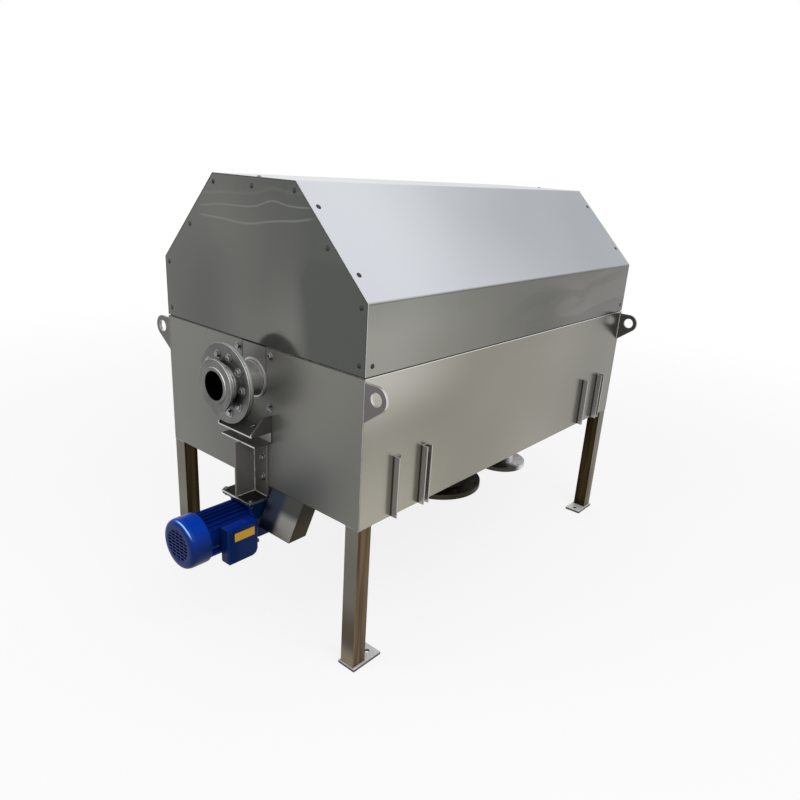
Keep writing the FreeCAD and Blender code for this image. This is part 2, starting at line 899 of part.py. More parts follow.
def shelf_bracket():
    """Tray with two cheeks above a second plate, joined at the wall."""
    thing = body("shelf_bracket")
    plate = s.shelf_plate
    half = s.shelf_half_width
    outer = FRONT - s.shelf_reach
    slab(thing, "Y", -half, half, outlines=[[
        (FRONT, SHELF_TOP), (outer, SHELF_TOP), (outer, SHELF_TOP - plate),
        (FRONT - plate, SHELF_TOP - plate), (FRONT - plate, SHELF_UNDER + plate),
        (FRONT - s.shelf_lower_reach, SHELF_UNDER + plate), (FRONT - s.shelf_lower_reach, SHELF_UNDER),
        (FRONT, SHELF_UNDER),
    ]])
    cheek = [
        (FRONT, SHELF_TOP), (outer, SHELF_TOP), (outer, SHELF_TOP + plate),
        (FRONT - s.gusset_flat, SHELF_TOP + s.gusset_rise), (FRONT, SHELF_TOP + s.gusset_rise),
    ]
    slab(thing, "Y", -half, plate - half, outlines=[cheek])
    slab(thing, "Y", half - plate, half, outlines=[cheek])
    return node("shelf_bracket", thing)


def motor_post():
    """T post: a web on the wall and a rib down its middle."""
    thing = body("motor_post")
    plate = s.plate_thickness
    slab(thing, "X", FRONT - plate, FRONT, outlines=[
        box(-s.post_half_width, s.post_half_width, PLATE_TOP, SHELF_UNDER)
    ])
    slab(thing, "Y", -plate / 2, plate / 2, outlines=[
        box(FRONT - s.post_reach, FRONT - plate, PLATE_TOP, SHELF_UNDER)
    ])
    return node("motor_post", thing)


FOOT_BOLTS = [
    (station, side * s.gearbox_foot_bolt_y)
    for station in (FRONT - s.plate_reach_out + s.gearbox_foot_bolt_out,
                    FRONT + s.plate_reach_in - s.gearbox_foot_bolt_x)
    for side in (-1, 1)
]


def motor_plate():
    """Plate under the post that the gearmotor hangs from."""
    thing = body("motor_plate")
    slab(thing, "Z", PLATE_UNDER, PLATE_TOP, outlines=[plate_outline(Size(0))])
    return node("motor_plate", thing)


def plate_outline(inset):
    """Outline of the motor plate, moved inwards by inset."""
    half = s.plate_half_width - inset
    return box(FRONT - s.plate_reach_out + inset, FRONT + s.plate_reach_in - inset, -half, half)


# Gearmotor

GEARBOX_TOP = PLATE_UNDER - s.gearbox_foot
GEARBOX_LOW = MOTOR_AXIS - s.gearbox_below
GEARBOX_BACK = FRONT - s.gearbox_reach_out
GEARBOX_FACE = FRONT + s.gearbox_reach_in
FLANGE_BACK = GEARBOX_BACK - s.motor_flange_thickness
CORE_BACK = FRONT - s.motor_core_end


def gearbox_housing():
    """Cast block with a foot on top, its ends rounded below, bored for its output shaft."""
    thing = body("gearbox_housing")
    half = s.gearbox_half_width
    outline = [(GEARBOX_BACK, GEARBOX_TOP)]
    outline += corner_points(GEARBOX_BACK, GEARBOX_LOW, 1, s.gearbox_round)
    outline += reversed(corner_points(GEARBOX_FACE, GEARBOX_LOW, -1, s.gearbox_round))
    outline += [(GEARBOX_FACE, GEARBOX_TOP)]
    slab(thing, "Y", -half, half, outlines=[outline])
    slab(thing, "Z", GEARBOX_TOP, PLATE_UNDER, outlines=[plate_outline(s.notch_gap)])
    bore = s.output_shaft_radius + s.running_clearance
    cut(thing, "X", GEARBOX_FACE - s.output_shaft_depth, GEARBOX_FACE, circles=[((0, MOTOR_AXIS), bore)])
    return node("gearbox_housing", thing)


CORNER_STEPS = 4


def corner_points(x, z, inward, radius):
    """Points of a rounded lower corner, from its upright edge to its foot."""
    points = []
    for step in range(CORNER_STEPS + 1):
        angle = math.radians(90 * step / CORNER_STEPS)
        points.append((
            x + radius * (inward * round(1 - math.cos(angle), 6)),
            z + radius * round(1 - math.sin(angle), 6),
        ))
    return points


def motor_housing():
    """Finned barrel with a front flange and a flat pad for the terminal box."""
    thing = body("motor_housing", MOTOR_AXIS)
    slab(thing, "X", CORE_BACK, FLANGE_BACK, circles=[((0, 0), s.motor_core_radius)])
    slab(thing, "X", FLANGE_BACK, GEARBOX_BACK, circles=[((0, 0), s.motor_flange_radius)])
    slab(thing, "X", CORE_BACK, CORE_BACK + s.shield_width, circles=[
        ((0, 0), s.cowl_radius - s.cowl_wall - s.seat_gap)
    ])
    pad_low = FRONT - (s.box_far + s.box_near) / 2 - s.box_pad / 2
    slab(thing, "Y", -s.box_seat, -s.motor_core_radius / 2, outlines=[
        box(pad_low, pad_low + s.box_pad, -s.box_pad / 2, s.box_pad / 2)
    ])
    step = 360 / s.fin_count
    first = 180 + step * (s.fin_omitted + 1) / 2
    foot, crest = s.motor_core_radius - s.fin_sink, s.motor_core_radius + s.fin_height
    fin = slab(thing, "X", CORE_BACK + s.fin_height, FLANGE_BACK, outlines=[
        radial_bar(first.value, foot, crest, s.fin_thickness / 2)
    ])
    polar(thing, [fin], s.fin_count - s.fin_omitted, step * (s.fin_count - s.fin_omitted - 1))
    shaft = s.fan_shaft_radius + s.running_clearance
    cut(thing, "X", CORE_BACK, CORE_BACK + s.fan_shaft_depth, circles=[((0, 0), shaft)])
    return node("motor_housing", thing)


def radial_bar(degrees, inner, outer, half):
    """Corners of a bar that points away from the axis at an angle."""
    along = (round(math.cos(math.radians(degrees)), 9), round(math.sin(math.radians(degrees)), 9))
    return [
        (reach * along[0] - shift * along[1], reach * along[1] + shift * along[0])
        for reach, shift in ((inner, -half), (outer, -half), (outer, half), (inner, half))
    ]


def fan_cowl():
    """Pressed cover with a rounded edge and a slotted grille."""
    thing = body("fan_cowl", MOTOR_AXIS)
    back = FRONT - s.cowl_end
    front = FRONT - s.cowl_start
    wall, edge, shoulder, outer = s.cowl_wall, s.cowl_edge, s.cowl_shoulder, s.cowl_radius
    turn(thing, [
        (back, 0), (back, outer - edge), (back + shoulder, outer - shoulder), (back + edge, outer),
        (front, outer), (front, outer - wall), (back + edge, outer - wall), (back + wall, outer - edge),
        (back + wall, 0),
    ])
    slots = []
    for row in range(-3, 4):
        height = s.cowl_slot_step * row
        reach = root(s.cowl_grille_radius * s.cowl_grille_radius - height * height)
        slots.append(box(-reach, reach, height - s.cowl_slot_width / 2, height + s.cowl_slot_width / 2))
    cut(thing, "X", back, back + wall, outlines=slots)
    return node("fan_cowl", thing)


def terminal_box():
    """Box on the pad, rounded at one lower corner."""
    thing = body("terminal_box")
    slab(thing, "Y", s.lid_thickness - s.box_face, -s.box_seat, outlines=[box_outline()])
    return node("terminal_box", thing)


def box_outline():
    """Outline of the terminal box, seen from its lid."""
    far, near = FRONT - s.box_far, FRONT - s.box_near
    top, low = MOTOR_AXIS + s.box_above, MOTOR_AXIS - s.box_below
    corner, chamfer = s.box_corner, s.box_chamfer
    return [
        (far, low), (near - corner, low), (near - chamfer, low + chamfer),
        (near, low + corner), (near, top), (far, top),
    ]


def terminal_lid():
    """Flat lid of the terminal box."""
    thing = body("terminal_lid")
    slab(thing, "Y", -s.box_face, s.lid_thickness - s.box_face, outlines=[box_outline()])
    return node("terminal_lid", thing)


def cable_gland():
    """Empty gland in the inner side of the terminal box."""
    thing = body("cable_gland")
    centre = (-(s.box_face + s.box_seat) / 2, MOTOR_AXIS - s.box_below / 2)
    start = FRONT - s.box_near
    slab(thing, "X", start, start + s.gland_length / 2, outlines=[hexagon(centre, s.gland_radius)])
    slab(thing, "X", start + s.gland_length / 2, start + s.gland_length, outlines=[
        hexagon(centre, s.gland_cap_radius)
    ])
    cut(thing, "X", start + s.gland_length / 2, start + s.gland_length, outlines=[
        hexagon(centre, s.gland_bore)
    ])
    return node("cable_gland", thing)


def motor_fan():
    """Fan on the motor shaft's rear end."""
    thing = body("motor_fan", MOTOR_AXIS)
    start = CORE_BACK - s.fan_width - s.notch_clearance
    end = CORE_BACK - s.notch_clearance
    slab(thing, "X", start, end, circles=[((0, 0), s.fan_hub_radius)])
    slab(thing, "X", end, CORE_BACK + s.fan_shaft_depth - s.hub_gap, circles=[((0, 0), s.fan_shaft_radius)])
    half = s.fin_thickness / 2
    blade = slab(thing, "X", start, end, outlines=[box(s.fan_blade_root, s.fan_radius, -half, half)])
    polar(thing, [blade], s.fan_blades)
    slab(thing, "X", end - s.fin_thickness, end, circles=[((0, 0), s.fan_disc_radius)])
    return node("motor_fan", thing)


# Sprockets and chain

def tooth_gap(pitch_radius, tip, side):
    """Outline of the space between two teeth: a round seat for the roller, then two flanks."""
    seat = s.roller_radius + s.tooth_clearance
    mouth = seat * s.tooth_mouth_ratio
    points = [(-mouth, side * (tip + s.tooth_cut_margin))]
    for step in range(7):
        angle = math.radians(-15 + 35 * step)
        points.append((
            -seat * round(math.cos(angle), 6),
            side * (pitch_radius - seat * round(math.sin(angle), 6)),
        ))
    points.append((mouth, side * (tip + s.tooth_cut_margin)))
    return points


def sprocket(name, teeth, pitch_radius, bore, height, gap_up, hub=None):
    """Toothed wheel whose gaps fit the chain's rollers; one gap is at the top or the bottom."""
    thing = body(name, height, CHAIN_X)
    half = s.sprocket_width / 2
    tip = pitch_radius + s.tooth_height
    side = 1 if gap_up else -1
    slab(thing, "X", -half, half, circles=[((0, 0), tip)])
    gap = cut(thing, "X", -half, half, outlines=[tooth_gap(pitch_radius, tip, side)])
    polar(thing, [gap], teeth)
    back = half
    if hub is not None:
        back = half + hub[1]
        slab(thing, "X", half, back, circles=[((0, 0), hub[0])])
    cut(thing, "X", -half, back, circles=[((0, 0), bore)])
    return node(name, thing)


def roller_places():
    """Centres of the chain's rollers in the (y, z) plane, from the top of the big sprocket round."""
    pitch, links = s.chain_pitch.value, int(round(s.chain_links.value))
    big, small = BIG_PITCH_RADIUS.value, SMALL_PITCH_RADIUS.value
    centres = s.chain_centres.value
    lean = math.asin((big - small) / centres)
    big_arc = s.drum_teeth.value * (0.25 + lean / (2 * math.pi))
    straight = centres * math.cos(lean) / pitch
    places = []
    for index in range(links):
        side = 1 if index <= links / 2 else -1
        count = index if side > 0 else links - index
        if count <= big_arc:
            angle = 2 * math.pi * count / s.drum_teeth.value
            place = (big * math.sin(angle), AXIS.value + big * math.cos(angle))
        elif count <= big_arc + straight:
            along = (count - big_arc) * pitch
            place = (
                big * math.cos(lean) - along * math.sin(lean),
                AXIS.value - big * math.sin(lean) - along * math.cos(lean),
            )
        else:
            angle = 2 * math.pi * (links / 2 - count) / s.drive_teeth.value
            place = (small * math.sin(angle), MOTOR_AXIS.value - small * math.cos(angle))
        places.append(FreeCAD.Vector(CHAIN_X.value, side * place[0], place[1]))
    return places


def link_plate(start, end, low, high):
    """Six-sided side plate of one link, between two stations along X."""
    along = (end - start).normalize()
    across = FreeCAD.Vector(0, -along.z, along.y) * s.link_half_height.value
    point = along * s.link_half_height.value
    corners = [start - point, start + across, end + across, end + point, end - across, start - across]
    corners = [corner + FreeCAD.Vector(low, 0, 0) for corner in corners]
    face = Part.Face(Part.makePolygon(corners + corners[:1]))
    return face.extrude(FreeCAD.Vector(high - low, 0, 0))


def roller(centre, half):
    """Six-sided stand-in for a roller."""
    corners = []
    for step in range(6):
        angle = math.radians(60 * step)
        offset = FreeCAD.Vector(-half, math.cos(angle), math.sin(angle))
        offset.y *= s.roller_radius.value
        offset.z *= s.roller_radius.value
        corners.append(centre + offset)
    face = Part.Face(Part.makePolygon(corners + corners[:1]))
    return face.extrude(FreeCAD.Vector(2 * half, 0, 0))


def drive_chain():
    """Roller chain: inner links with their rollers, outer plates against them."""
    places = roller_places()
    half = s.sprocket_width.value / 2 + s.tooth_clearance.value
    plate = s.link_plate.value
    solids = []
    for index, start in enumerate(places):
        end = places[(index + 1) % len(places)]
        inner = index % 2 == 0
        low = half if inner else half + plate
        solids.append(link_plate(start, end, low, low + plate))
        solids.append(link_plate(start, end, -low - plate, -low))
        if inner:
            solids.append(roller(start, half))
            solids.append(roller(end, half))
    thing = doc.addObject("Part::Feature", "drive_chain")
    thing.Shape = Part.makeCompound(solids)
    thing.Placement = FreeCAD.Placement()
    return node("drive_chain", thing)


def output_shaft():
    """Gearbox shaft that carries the small sprocket."""
    thing = body("output_shaft", MOTOR_AXIS)
    start = GEARBOX_FACE - s.output_shaft_depth + s.hub_gap
    end = CHAIN_X + s.sprocket_width / 2 + s.drive_hub_length + s.output_shaft_overhang
    slab(thing, "X", start, end, circles=[((0, 0), s.output_shaft_radius)])
    return node("output_shaft", thing)


# Drum

def drum_screen():
    """Screen shell; its slots are too fine for this model."""
    return tube("drum_screen", DRUM_FRONT, DRUM_REAR, DRUM_INNER, s.drum_radius)


def drum_hoops():
    """Stiffening hoops round the screen, evenly spaced."""
    thing = body("drum_hoops", AXIS)
    outer = s.drum_radius + s.hoop_height
    hoop = turn(thing, [
        (DRUM_FRONT, s.drum_radius), (DRUM_FRONT + s.hoop_width, s.drum_radius),
        (DRUM_FRONT + s.hoop_width, outer), (DRUM_FRONT, outer),
    ])
    pattern = thing.newObject("PartDesign::LinearPattern", "LinearPattern")
    pattern.Originals = [hoop]
    pattern.Direction = (origin_item(thing, "X_Axis"), [""])
    bind(pattern, "Length", DRUM_REAR - DRUM_FRONT - s.hoop_width)
    bind(pattern, "Occurrences", s.hoop_count)
    thing.Tip = pattern
    return node("drum_hoops", thing)


SEAM = 0.001


def drum_flight():
    """Left-hand screw flight inside the shell, welded up from flat sectors."""
    sectors_per_turn = 24
    outer, inner = DRUM_INNER.value, DRUM_INNER.value - s.flight_height.value
    start = DRUM_FRONT.value + s.spider_rim_width.value
    end = DRUM_REAR.value - s.head_thickness.value - s.flight_thickness.value
    step = s.flight_pitch.value / sectors_per_turn
    sectors = int((end - start) / step)
    corners = []
    for index in range(sectors + 1):
        angle = -2 * math.pi * index / sectors_per_turn
        across = FreeCAD.Vector(0, math.cos(angle), math.sin(angle))
        station = FreeCAD.Vector(start + step * index, 0, AXIS.value)
        depth = FreeCAD.Vector(s.flight_thickness.value, 0, 0)
        near = [station + across * inner, station + across * outer]
        corners.append(near + [near[1] + depth, near[0] + depth])
    faces = [polygon_face(corners[0]), polygon_face(corners[-1])]
    for before, after in zip(corners[:-1], corners[1:]):
        for side in range(4):
            turn_to = (side + 1) % 4
            quad = [before[side], before[turn_to], after[turn_to], after[side]]
            if side in (0, 2):
                faces.append(polygon_face(quad[:3]))
                faces.append(polygon_face([quad[0], quad[2], quad[3]]))
            else:
                faces.append(polygon_face(quad))
    thing = doc.addObject("Part::Feature", "drum_flight")
    solid = Part.makeSolid(Part.makeShell(faces))
    solid.fix(SEAM, SEAM, SEAM)
    if solid.Volume < 0:
        solid.reverse()
    thing.Shape = solid
    thing.Placement = FreeCAD.Placement()
    return node("drum_flight", thing)


def polygon_face(corners):
    """Flat face through corners in order."""
    return Part.Face(Part.makePolygon(list(corners) + [corners[0]]))


def drum_spider():
    """Rim and spokes that join the front of the shell to the hub."""
    thing = body("drum_spider", AXIS)
    low = DRUM_FRONT + s.hub_gap
    high = low + s.spoke_thickness
    rim_end = DRUM_FRONT + s.spider_rim_width
    rim = DRUM_INNER - s.spider_rim
    turn(thing, [(DRUM_FRONT, rim), (rim_end, rim), (rim_end, DRUM_INNER), (DRUM_FRONT, DRUM_INNER)])
    half, tip = s.spoke_width / 2, s.spoke_tip_width / 2
    slab(thing, "X", low, high, circles=[((0, 0), HUB_OUTER + s.hub_wall)])
    spoke = slab(thing, "X", low, high, outlines=[[
        (HUB_OUTER, -half), (rim + s.spider_rim / 2, -tip), (rim + s.spider_rim / 2, tip),
        (HUB_OUTER, half),
    ]])
    polar(thing, [spoke], s.spoke_count)
    cut(thing, "X", low, high, circles=[((0, 0), HUB_OUTER)])
    return node("drum_spider", thing)


def rear_head():
    """Closed rear end of the drum with a boss for its shaft."""
    thing = body("rear_head", AXIS)
    face = DRUM_REAR - s.head_thickness
    boss = face - s.head_boss_length
    turn(thing, [
        (boss, s.rear_shaft_radius), (DRUM_REAR, s.rear_shaft_radius), (DRUM_REAR, DRUM_INNER),
        (face, DRUM_INNER), (face, s.head_boss_radius), (boss, s.head_boss_radius),
    ])
    return node("rear_head", thing)


def rear_shaft():
    """Stub shaft through the rear wall, chamfered at its end."""
    thing = body("rear_shaft", AXIS)
    start = DRUM_REAR - s.head_thickness - s.head_boss_length
    end = REAR + s.rear_shaft_overhang
    radius = s.rear_shaft_radius
    chamfer = s.shaft_chamfer
    turn(thing, [(start, 0), (end, 0), (end, radius - chamfer), (end - chamfer, radius), (start, radius)])
    return node("rear_shaft", thing)


def rear_bearing():
    """Flanged bearing housing outside the rear wall, its spigot in the notch."""
    thing = body("rear_bearing")
    half = s.bearing_side / 2
    seat = REAR
    slab(thing, "X", seat, seat + s.bearing_flange, outlines=[box(-half, half, AXIS - half, AXIS + half)])
    slab(thing, "X", seat, seat + s.bearing_length, circles=[((0, AXIS), s.bearing_boss_radius)])
    slab(thing, "X", REAR - s.tank_sheet, seat, circles=[((0, AXIS), s.bearing_spigot_radius)])
    inner = s.rear_shaft_radius + s.running_clearance + s.bush_wall
    cut(thing, "X", REAR - s.tank_sheet, seat + s.bearing_length, circles=[((0, AXIS), inner)])
    return node("rear_bearing", thing)


# Chute and outlets

def discharge_chute():
    """Slanted duct for the solids, open at both ends."""
    thing = body("discharge_chute")
    low = BOTTOM - s.chute_drop
    wall = s.chute_sheet

    def outline(inset):
        return [
            (FRONT + inset, BOTTOM), (FRONT + s.chute_depth - inset, BOTTOM),
            (FRONT + s.chute_depth - s.chute_lean - inset, low), (FRONT - s.chute_lean + inset, low),
        ]

    slab(thing, "Y", -s.chute_far, -s.chute_near, outlines=[outline(Size(0))])
    cut(thing, "Y", wall - s.chute_far, -s.chute_near - wall, outlines=[outline(wall)])
    return node("discharge_chute", thing)


def discharge_slides():
    """Sloping sheets that lead the solids to the chute mouth from behind and from the side."""
    thing = body("discharge_slides")
    sheet = s.slide_sheet
    foot_x = FRONT + s.chute_depth
    back_x = FRONT + s.partition_inset
    slab(thing, "Y", -(SIDE - s.tank_sheet), -(s.chute_near + s.chute_sheet), outlines=[[
        (foot_x, FLOOR_TOP), (foot_x + sheet, FLOOR_TOP),
        (back_x, FLOOR_TOP + s.slide_rise - sheet), (back_x, FLOOR_TOP + s.slide_rise),
    ]])
    foot_y = -s.chute_far
    side_y = -(SIDE - s.tank_sheet)
    slab(thing, "X", FRONT + s.tank_sheet, back_x, outlines=[[
        (foot_y, FLOOR_TOP), (side_y, FLOOR_TOP + s.side_slide_rise),
        (side_y, FLOOR_TOP + s.side_slide_rise - sheet), (foot_y - sheet, FLOOR_TOP),
    ]])
    return node("discharge_slides", thing)


def outlet(name, inset, drop, pipe, flange, thickness, circle, hole, first_hole):
    """Pipe stub under the floor with a drilled flange."""
    thing = body(name)
    centre = (FRONT + inset, s.outlet_side_inset - SIDE)
    low = BOTTOM - drop
    slab(thing, "Z", low, FLOOR_TOP, circles=[(centre, pipe)])
    slab(thing, "Z", low, low + thickness, circles=[(centre, flange)])
    cut(thing, "Z", low, FLOOR_TOP, circles=[(centre, pipe - s.outlet_wall)])
    holes = ring_places(circle, s.outlet_bolt_count, first_hole, centre)
    cut(thing, "Z", low, low + thickness, circles=[(place, hole) for place in holes])
    return node(name, thing)


# Spray header

def spray_pipe():
    """Header over the drum with welded mitres, down inside the rear wall and out through it."""
    y = s.spray_offset.value
    top = AXIS.value + s.spray_rise.value
    low = SPRAY_INLET[1].value
    first = FreeCAD.Vector(FRONT.value + s.spray_front_inset.value, y, top)
    corner = FreeCAD.Vector(REAR.value - s.spray_end_inset.value, y, top)
    knee = FreeCAD.Vector(corner.x, y, low)
    last = FreeCAD.Vector(REAR.value + s.spray_stub.value, y, low)
    outer = mitred_bar([first, corner, knee, last], s.spray_pipe_radius.value)
    bore_start = first + FreeCAD.Vector(s.spray_pipe_wall.value, 0, 0)
    inner = mitred_bar(
        [bore_start, corner, knee, last], (s.spray_pipe_radius - s.spray_pipe_wall).value
    )
    thing = doc.addObject("Part::Feature", "spray_pipe")
    thing.Shape = outer.cut(inner)
    thing.Placement = FreeCAD.Placement()
    return node("spray_pipe", thing)


def spray_socket():
    """Pipe socket welded to the header's outer end, for the supply of wash water."""
    thing = body("spray_socket")
    start = REAR + s.spray_stub
    end = start + s.spray_socket_length
    slab(thing, "X", start, end, circles=[(SPRAY_INLET, s.spray_socket_radius)])
    cut(thing, "X", start, end, circles=[(SPRAY_INLET, s.spray_socket_bore)])
    return node("spray_socket", thing)


def mitred_bar(corners, radius):
    """Round bar along straight runs with mitred corners; it sets out along X."""
    circle = Part.Circle(corners[0], FreeCAD.Vector(1, 0, 0), radius)
    return Part.makePolygon(corners).makePipeShell([Part.Wire(circle.toShape())], True, False, 1)


def spray_nozzles():
    """Hexagonal nozzles under the header, aimed at the drum axis."""
    thing = doc.addObject("Part::Feature", "spray_nozzles")
    aim = FreeCAD.Vector(0, -s.spray_offset.value, -s.spray_rise.value).normalize()
    seat = FreeCAD.Vector(0, s.spray_offset.value, AXIS.value + s.spray_rise.value)
    seat += aim * s.spray_pipe_radius.value
    count = int(round(s.nozzle_count.value))
    first, last = DRUM_FRONT.value, DRUM_REAR.value
    solids = []
    for index in range(count):
        place = FreeCAD.Vector(first + (last - first) * (index + 0.5) / count, seat.y, seat.z)
        solids.append(hex_prism(place, aim, s.nozzle_radius.value, s.nozzle_length.value))
    thing.Shape = Part.makeCompound(solids)
    thing.Placement = FreeCAD.Placement()
    return node("spray_nozzles", thing)


def hex_prism(place, outward, radius, height):
    """Hexagonal prism that stands on a place and points outward."""
    across = outward.cross(FreeCAD.Vector(outward.z, outward.x, outward.y)).normalize()
    along = outward.cross(across)
    corners = []
    for step in range(6):
        angle = math.radians(60 * step)
        corners.append(place + (across * math.cos(angle) + along * math.sin(angle)) * radius)
    return polygon_face(corners).extrude(outward * height)


def spray_strap():
    """Flat upright on the rim that carries the front end of the header."""
    thing = body("spray_strap")
    half = s.strap_width / 2
    centre = (s.spray_offset, AXIS + s.spray_rise)
    high = FRONT + s.rim_width - s.notch_gap
    low = high - s.strap_thickness
    slab(thing, "X", low, high, outlines=[
        box(s.spray_offset - half, s.spray_offset + half, SPLIT, centre[1])
    ])
    slab(thing, "X", low, high, circles=[(centre, s.strap_loop_radius)])
    cut(thing, "X", low, high, circles=[(centre, s.spray_pipe_radius)])
    return node("spray_strap", thing)


# Hood

RUN = SIDE - s.hood_top_width / 2
RISE = s.hood_height - s.hood_side_height
SLOPE = root(RUN * RUN + RISE * RISE)
EAVE = SPLIT + s.hood_side_height
HOOD_TOP = SPLIT + s.hood_height


def hood_profile(inset, base):
    """Section of the hood moved inwards by inset, from one foot over the top to the other."""
    eave = EAVE + inset * RISE / RUN - inset * SLOPE / RUN
    top = HOOD_TOP - inset
    shoulder = SIDE - ((RISE - inset) * RUN + inset * SLOPE) / RISE
    return [
        (inset - SIDE, base), (inset - SIDE, eave), (-shoulder, top),
        (shoulder, top), (SIDE - inset, eave), (SIDE - inset, base),
    ]


def hood_wrap():
    """One bent sheet: two sides, two slopes and the flat top, with returns at the foot."""
    thing = body("hood_wrap")
    sheet = s.hood_sheet
    inner = SIDE - s.hood_return
    base = HOOD_BASE + sheet
    outside = hood_profile(Size(0), HOOD_BASE)
    inside = hood_profile(sheet, base)
    slab(thing, "X", FRONT + sheet, REAR - sheet, outlines=[
        outside + [(inner, HOOD_BASE), (inner, base)] + list(reversed(inside)) + [
            (-inner, base), (-inner, HOOD_BASE),
        ]
    ])
    return node("hood_wrap", thing)


def hood_end_plate(name, end):
    """End sheet of the hood with a return at its foot."""
    thing = body(name)
    outer, inner = end * REAR, end * (REAR - s.hood_sheet)
    low, high = (outer, inner) if end < 0 else (inner, outer)
    slab(thing, "X", low, high, outlines=[hood_profile(Size(0), HOOD_BASE)])
    half = SIDE - s.hood_return
    slab(thing, "Z", HOOD_BASE, HOOD_BASE + s.hood_sheet, outlines=[
        box(inner, end * (REAR - s.hood_return), -half, half)
    ])
    return node(name, thing)


def hood_frames():
    """Angle frames inside both ends of the hood, which the sheets are screwed to."""
    thing = body("hood_frames")
    base = HOOD_BASE + s.hood_sheet
    sheet = s.hood_sheet
    leg = s.hood_frame_leg
    wall = s.hood_frame_sheet

    def band(first, second):
        return hood_profile(first, base) + list(reversed(hood_profile(second, base)))

    for end in (-1, 1):
        face = end * (REAR - sheet)
        for depth, outline in ((leg, band(sheet, sheet + wall)), (wall, band(sheet, leg))):
            back = face - end * depth
            low, high = (face, back) if end < 0 else (back, face)
            slab(thing, "X", low, high, outlines=[outline])
    return node("hood_frames", thing)


def hood_screws():
    """Screw heads on the end plates and on the bent sheet; those on the slopes stand square to it."""
    lower, upper = s.hood_screw_low, s.hood_side_height - s.hood_screw_under
    end_places = [(Size(0), s.hood_height - s.hood_screw_top)]
    for side in (-1, 1):
        end_places += [
            (side * s.hood_screw_half, s.hood_height - s.hood_screw_top),
            (side * s.hood_screw_mid_y, s.hood_screw_mid_z),
            (side * (SIDE - s.hood_screw_edge), upper), (side * (SIDE - s.hood_screw_edge), lower),
        ]
    heads = []
    for end in (-1, 1):
        for y, z in end_places:
            place = FreeCAD.Vector(end * REAR.value, y.value, (SPLIT + z).value)
            heads.append(screw_head(place, FreeCAD.Vector(end, 0, 0)))
        station = end * (REAR - s.hood_screw_inset).value
        heads.append(screw_head(
            FreeCAD.Vector(station, 0, HOOD_TOP.value), FreeCAD.Vector(0, 0, 1)
        ))
        for side in (-1, 1):
            heads.append(screw_head(
                FreeCAD.Vector(station, side * SIDE.value, (SPLIT + lower).value),
                FreeCAD.Vector(0, side, 0),
            ))
            for share in (s.hood_screw_share, 1 - s.hood_screw_share):
                heads.append(screw_head(
                    FreeCAD.Vector(
                        station, side * (SIDE - RUN * share).value, (EAVE + RISE * share).value
                    ),
                    FreeCAD.Vector(0, side * (RISE / SLOPE).value, (RUN / SLOPE).value),
                ))
    thing = doc.addObject("Part::Feature", "hood_screws")
    thing.Shape = Part.makeCompound(heads)
    thing.Placement = FreeCAD.Placement()
    return node("hood_screws", thing)


def screw_head(place, outward):
    """Hexagonal screw head on a face."""
    return hex_prism(place, outward, s.hood_screw_radius.value, s.hood_screw_head.value)


# Build every sub-part

WALL_IN = FRONT + s.tank_sheet
HOLDER_FACE = WALL_IN + s.holder_thickness

end_wall("tank_front_wall", FRONT, WALL_IN, NOTCH_HALF, [])
end_wall("tank_rear_wall", REAR - s.tank_sheet, REAR, REAR_NOTCH_HALF, [(SPRAY_INLET, s.spray_pipe_radius)])
side_wall("tank_left_wall", 1)
side_wall("tank_right_wall", -1)
tank_floor()
tank_rim()
rim_gasket()
notch_cover("front_notch_cover", FRONT, WALL_IN, NOTCH_HALF, s.axle_radius)
notch_cover("rear_notch_cover", REAR - s.tank_sheet, REAR, REAR_NOTCH_HALF, s.bearing_spigot_radius)
discharge_partition()
discharge_slides()
chain_guard()
discharge_chute()
outlet(
    "filtrate_outlet", s.filtrate_inset, s.filtrate_drop, s.filtrate_pipe_radius, s.filtrate_flange_radius,
    s.filtrate_flange_thickness, s.filtrate_bolt_circle, s.filtrate_bolt_radius,
    180 / s.outlet_bolt_count.value,
)
outlet(
    "drain_outlet", s.drain_inset, s.drain_drop, s.drain_pipe_radius, s.drain_flange_radius,
    s.drain_flange_thickness, s.drain_bolt_circle, s.drain_bolt_radius, 0,
)
legs()
foot_plates()
lifting_lugs()
cleats()

hollow_axle()
axle_holder()
tube("pipe_flange", SPOOL_SEAT, FRONT - s.axle_reach_out, s.axle_radius, s.flange_radius)
inlet_spool()
flange_bolts()

shelf_bracket()
motor_post()
motor_plate()
gearbox_housing()
motor_housing()
fan_cowl()
terminal_box()
terminal_lid()
cable_gland()

tube("rear_bush", REAR, REAR + s.bearing_length, s.rear_shaft_radius + s.running_clearance,
     s.rear_shaft_radius + s.running_clearance + s.bush_wall)
rear_bearing()
frame_bolts()
small_bolts()
spray_pipe()
spray_socket()
spray_nozzles()
spray_strap()
drive_chain()

drum_screen()
drum_hoops()
drum_flight()
drum_spider()
tube("drum_hub", HUB_START, DRUM_FRONT + s.spider_rim_width, HUB_BORE, HUB_OUTER)
tube("hub_bush", HUB_START, DRUM_FRONT + s.spider_rim_width, s.axle_radius + s.running_clearance, HUB_BORE)
sprocket("drum_sprocket", s.drum_teeth, BIG_PITCH_RADIUS, HUB_OUTER, AXIS, True)
rear_head()
rear_shaft()

output_shaft()
sprocket(
    "drive_sprocket", s.drive_teeth, SMALL_PITCH_RADIUS, s.output_shaft_radius, MOTOR_AXIS, False,
    hub=(s.drive_hub_radius, s.drive_hub_length),
)
motor_fan()

hood_wrap()
hood_end_plate("hood_front_plate", -1)
hood_end_plate("hood_rear_plate", 1)
hood_frames()
hood_screws()

doc.recompute()

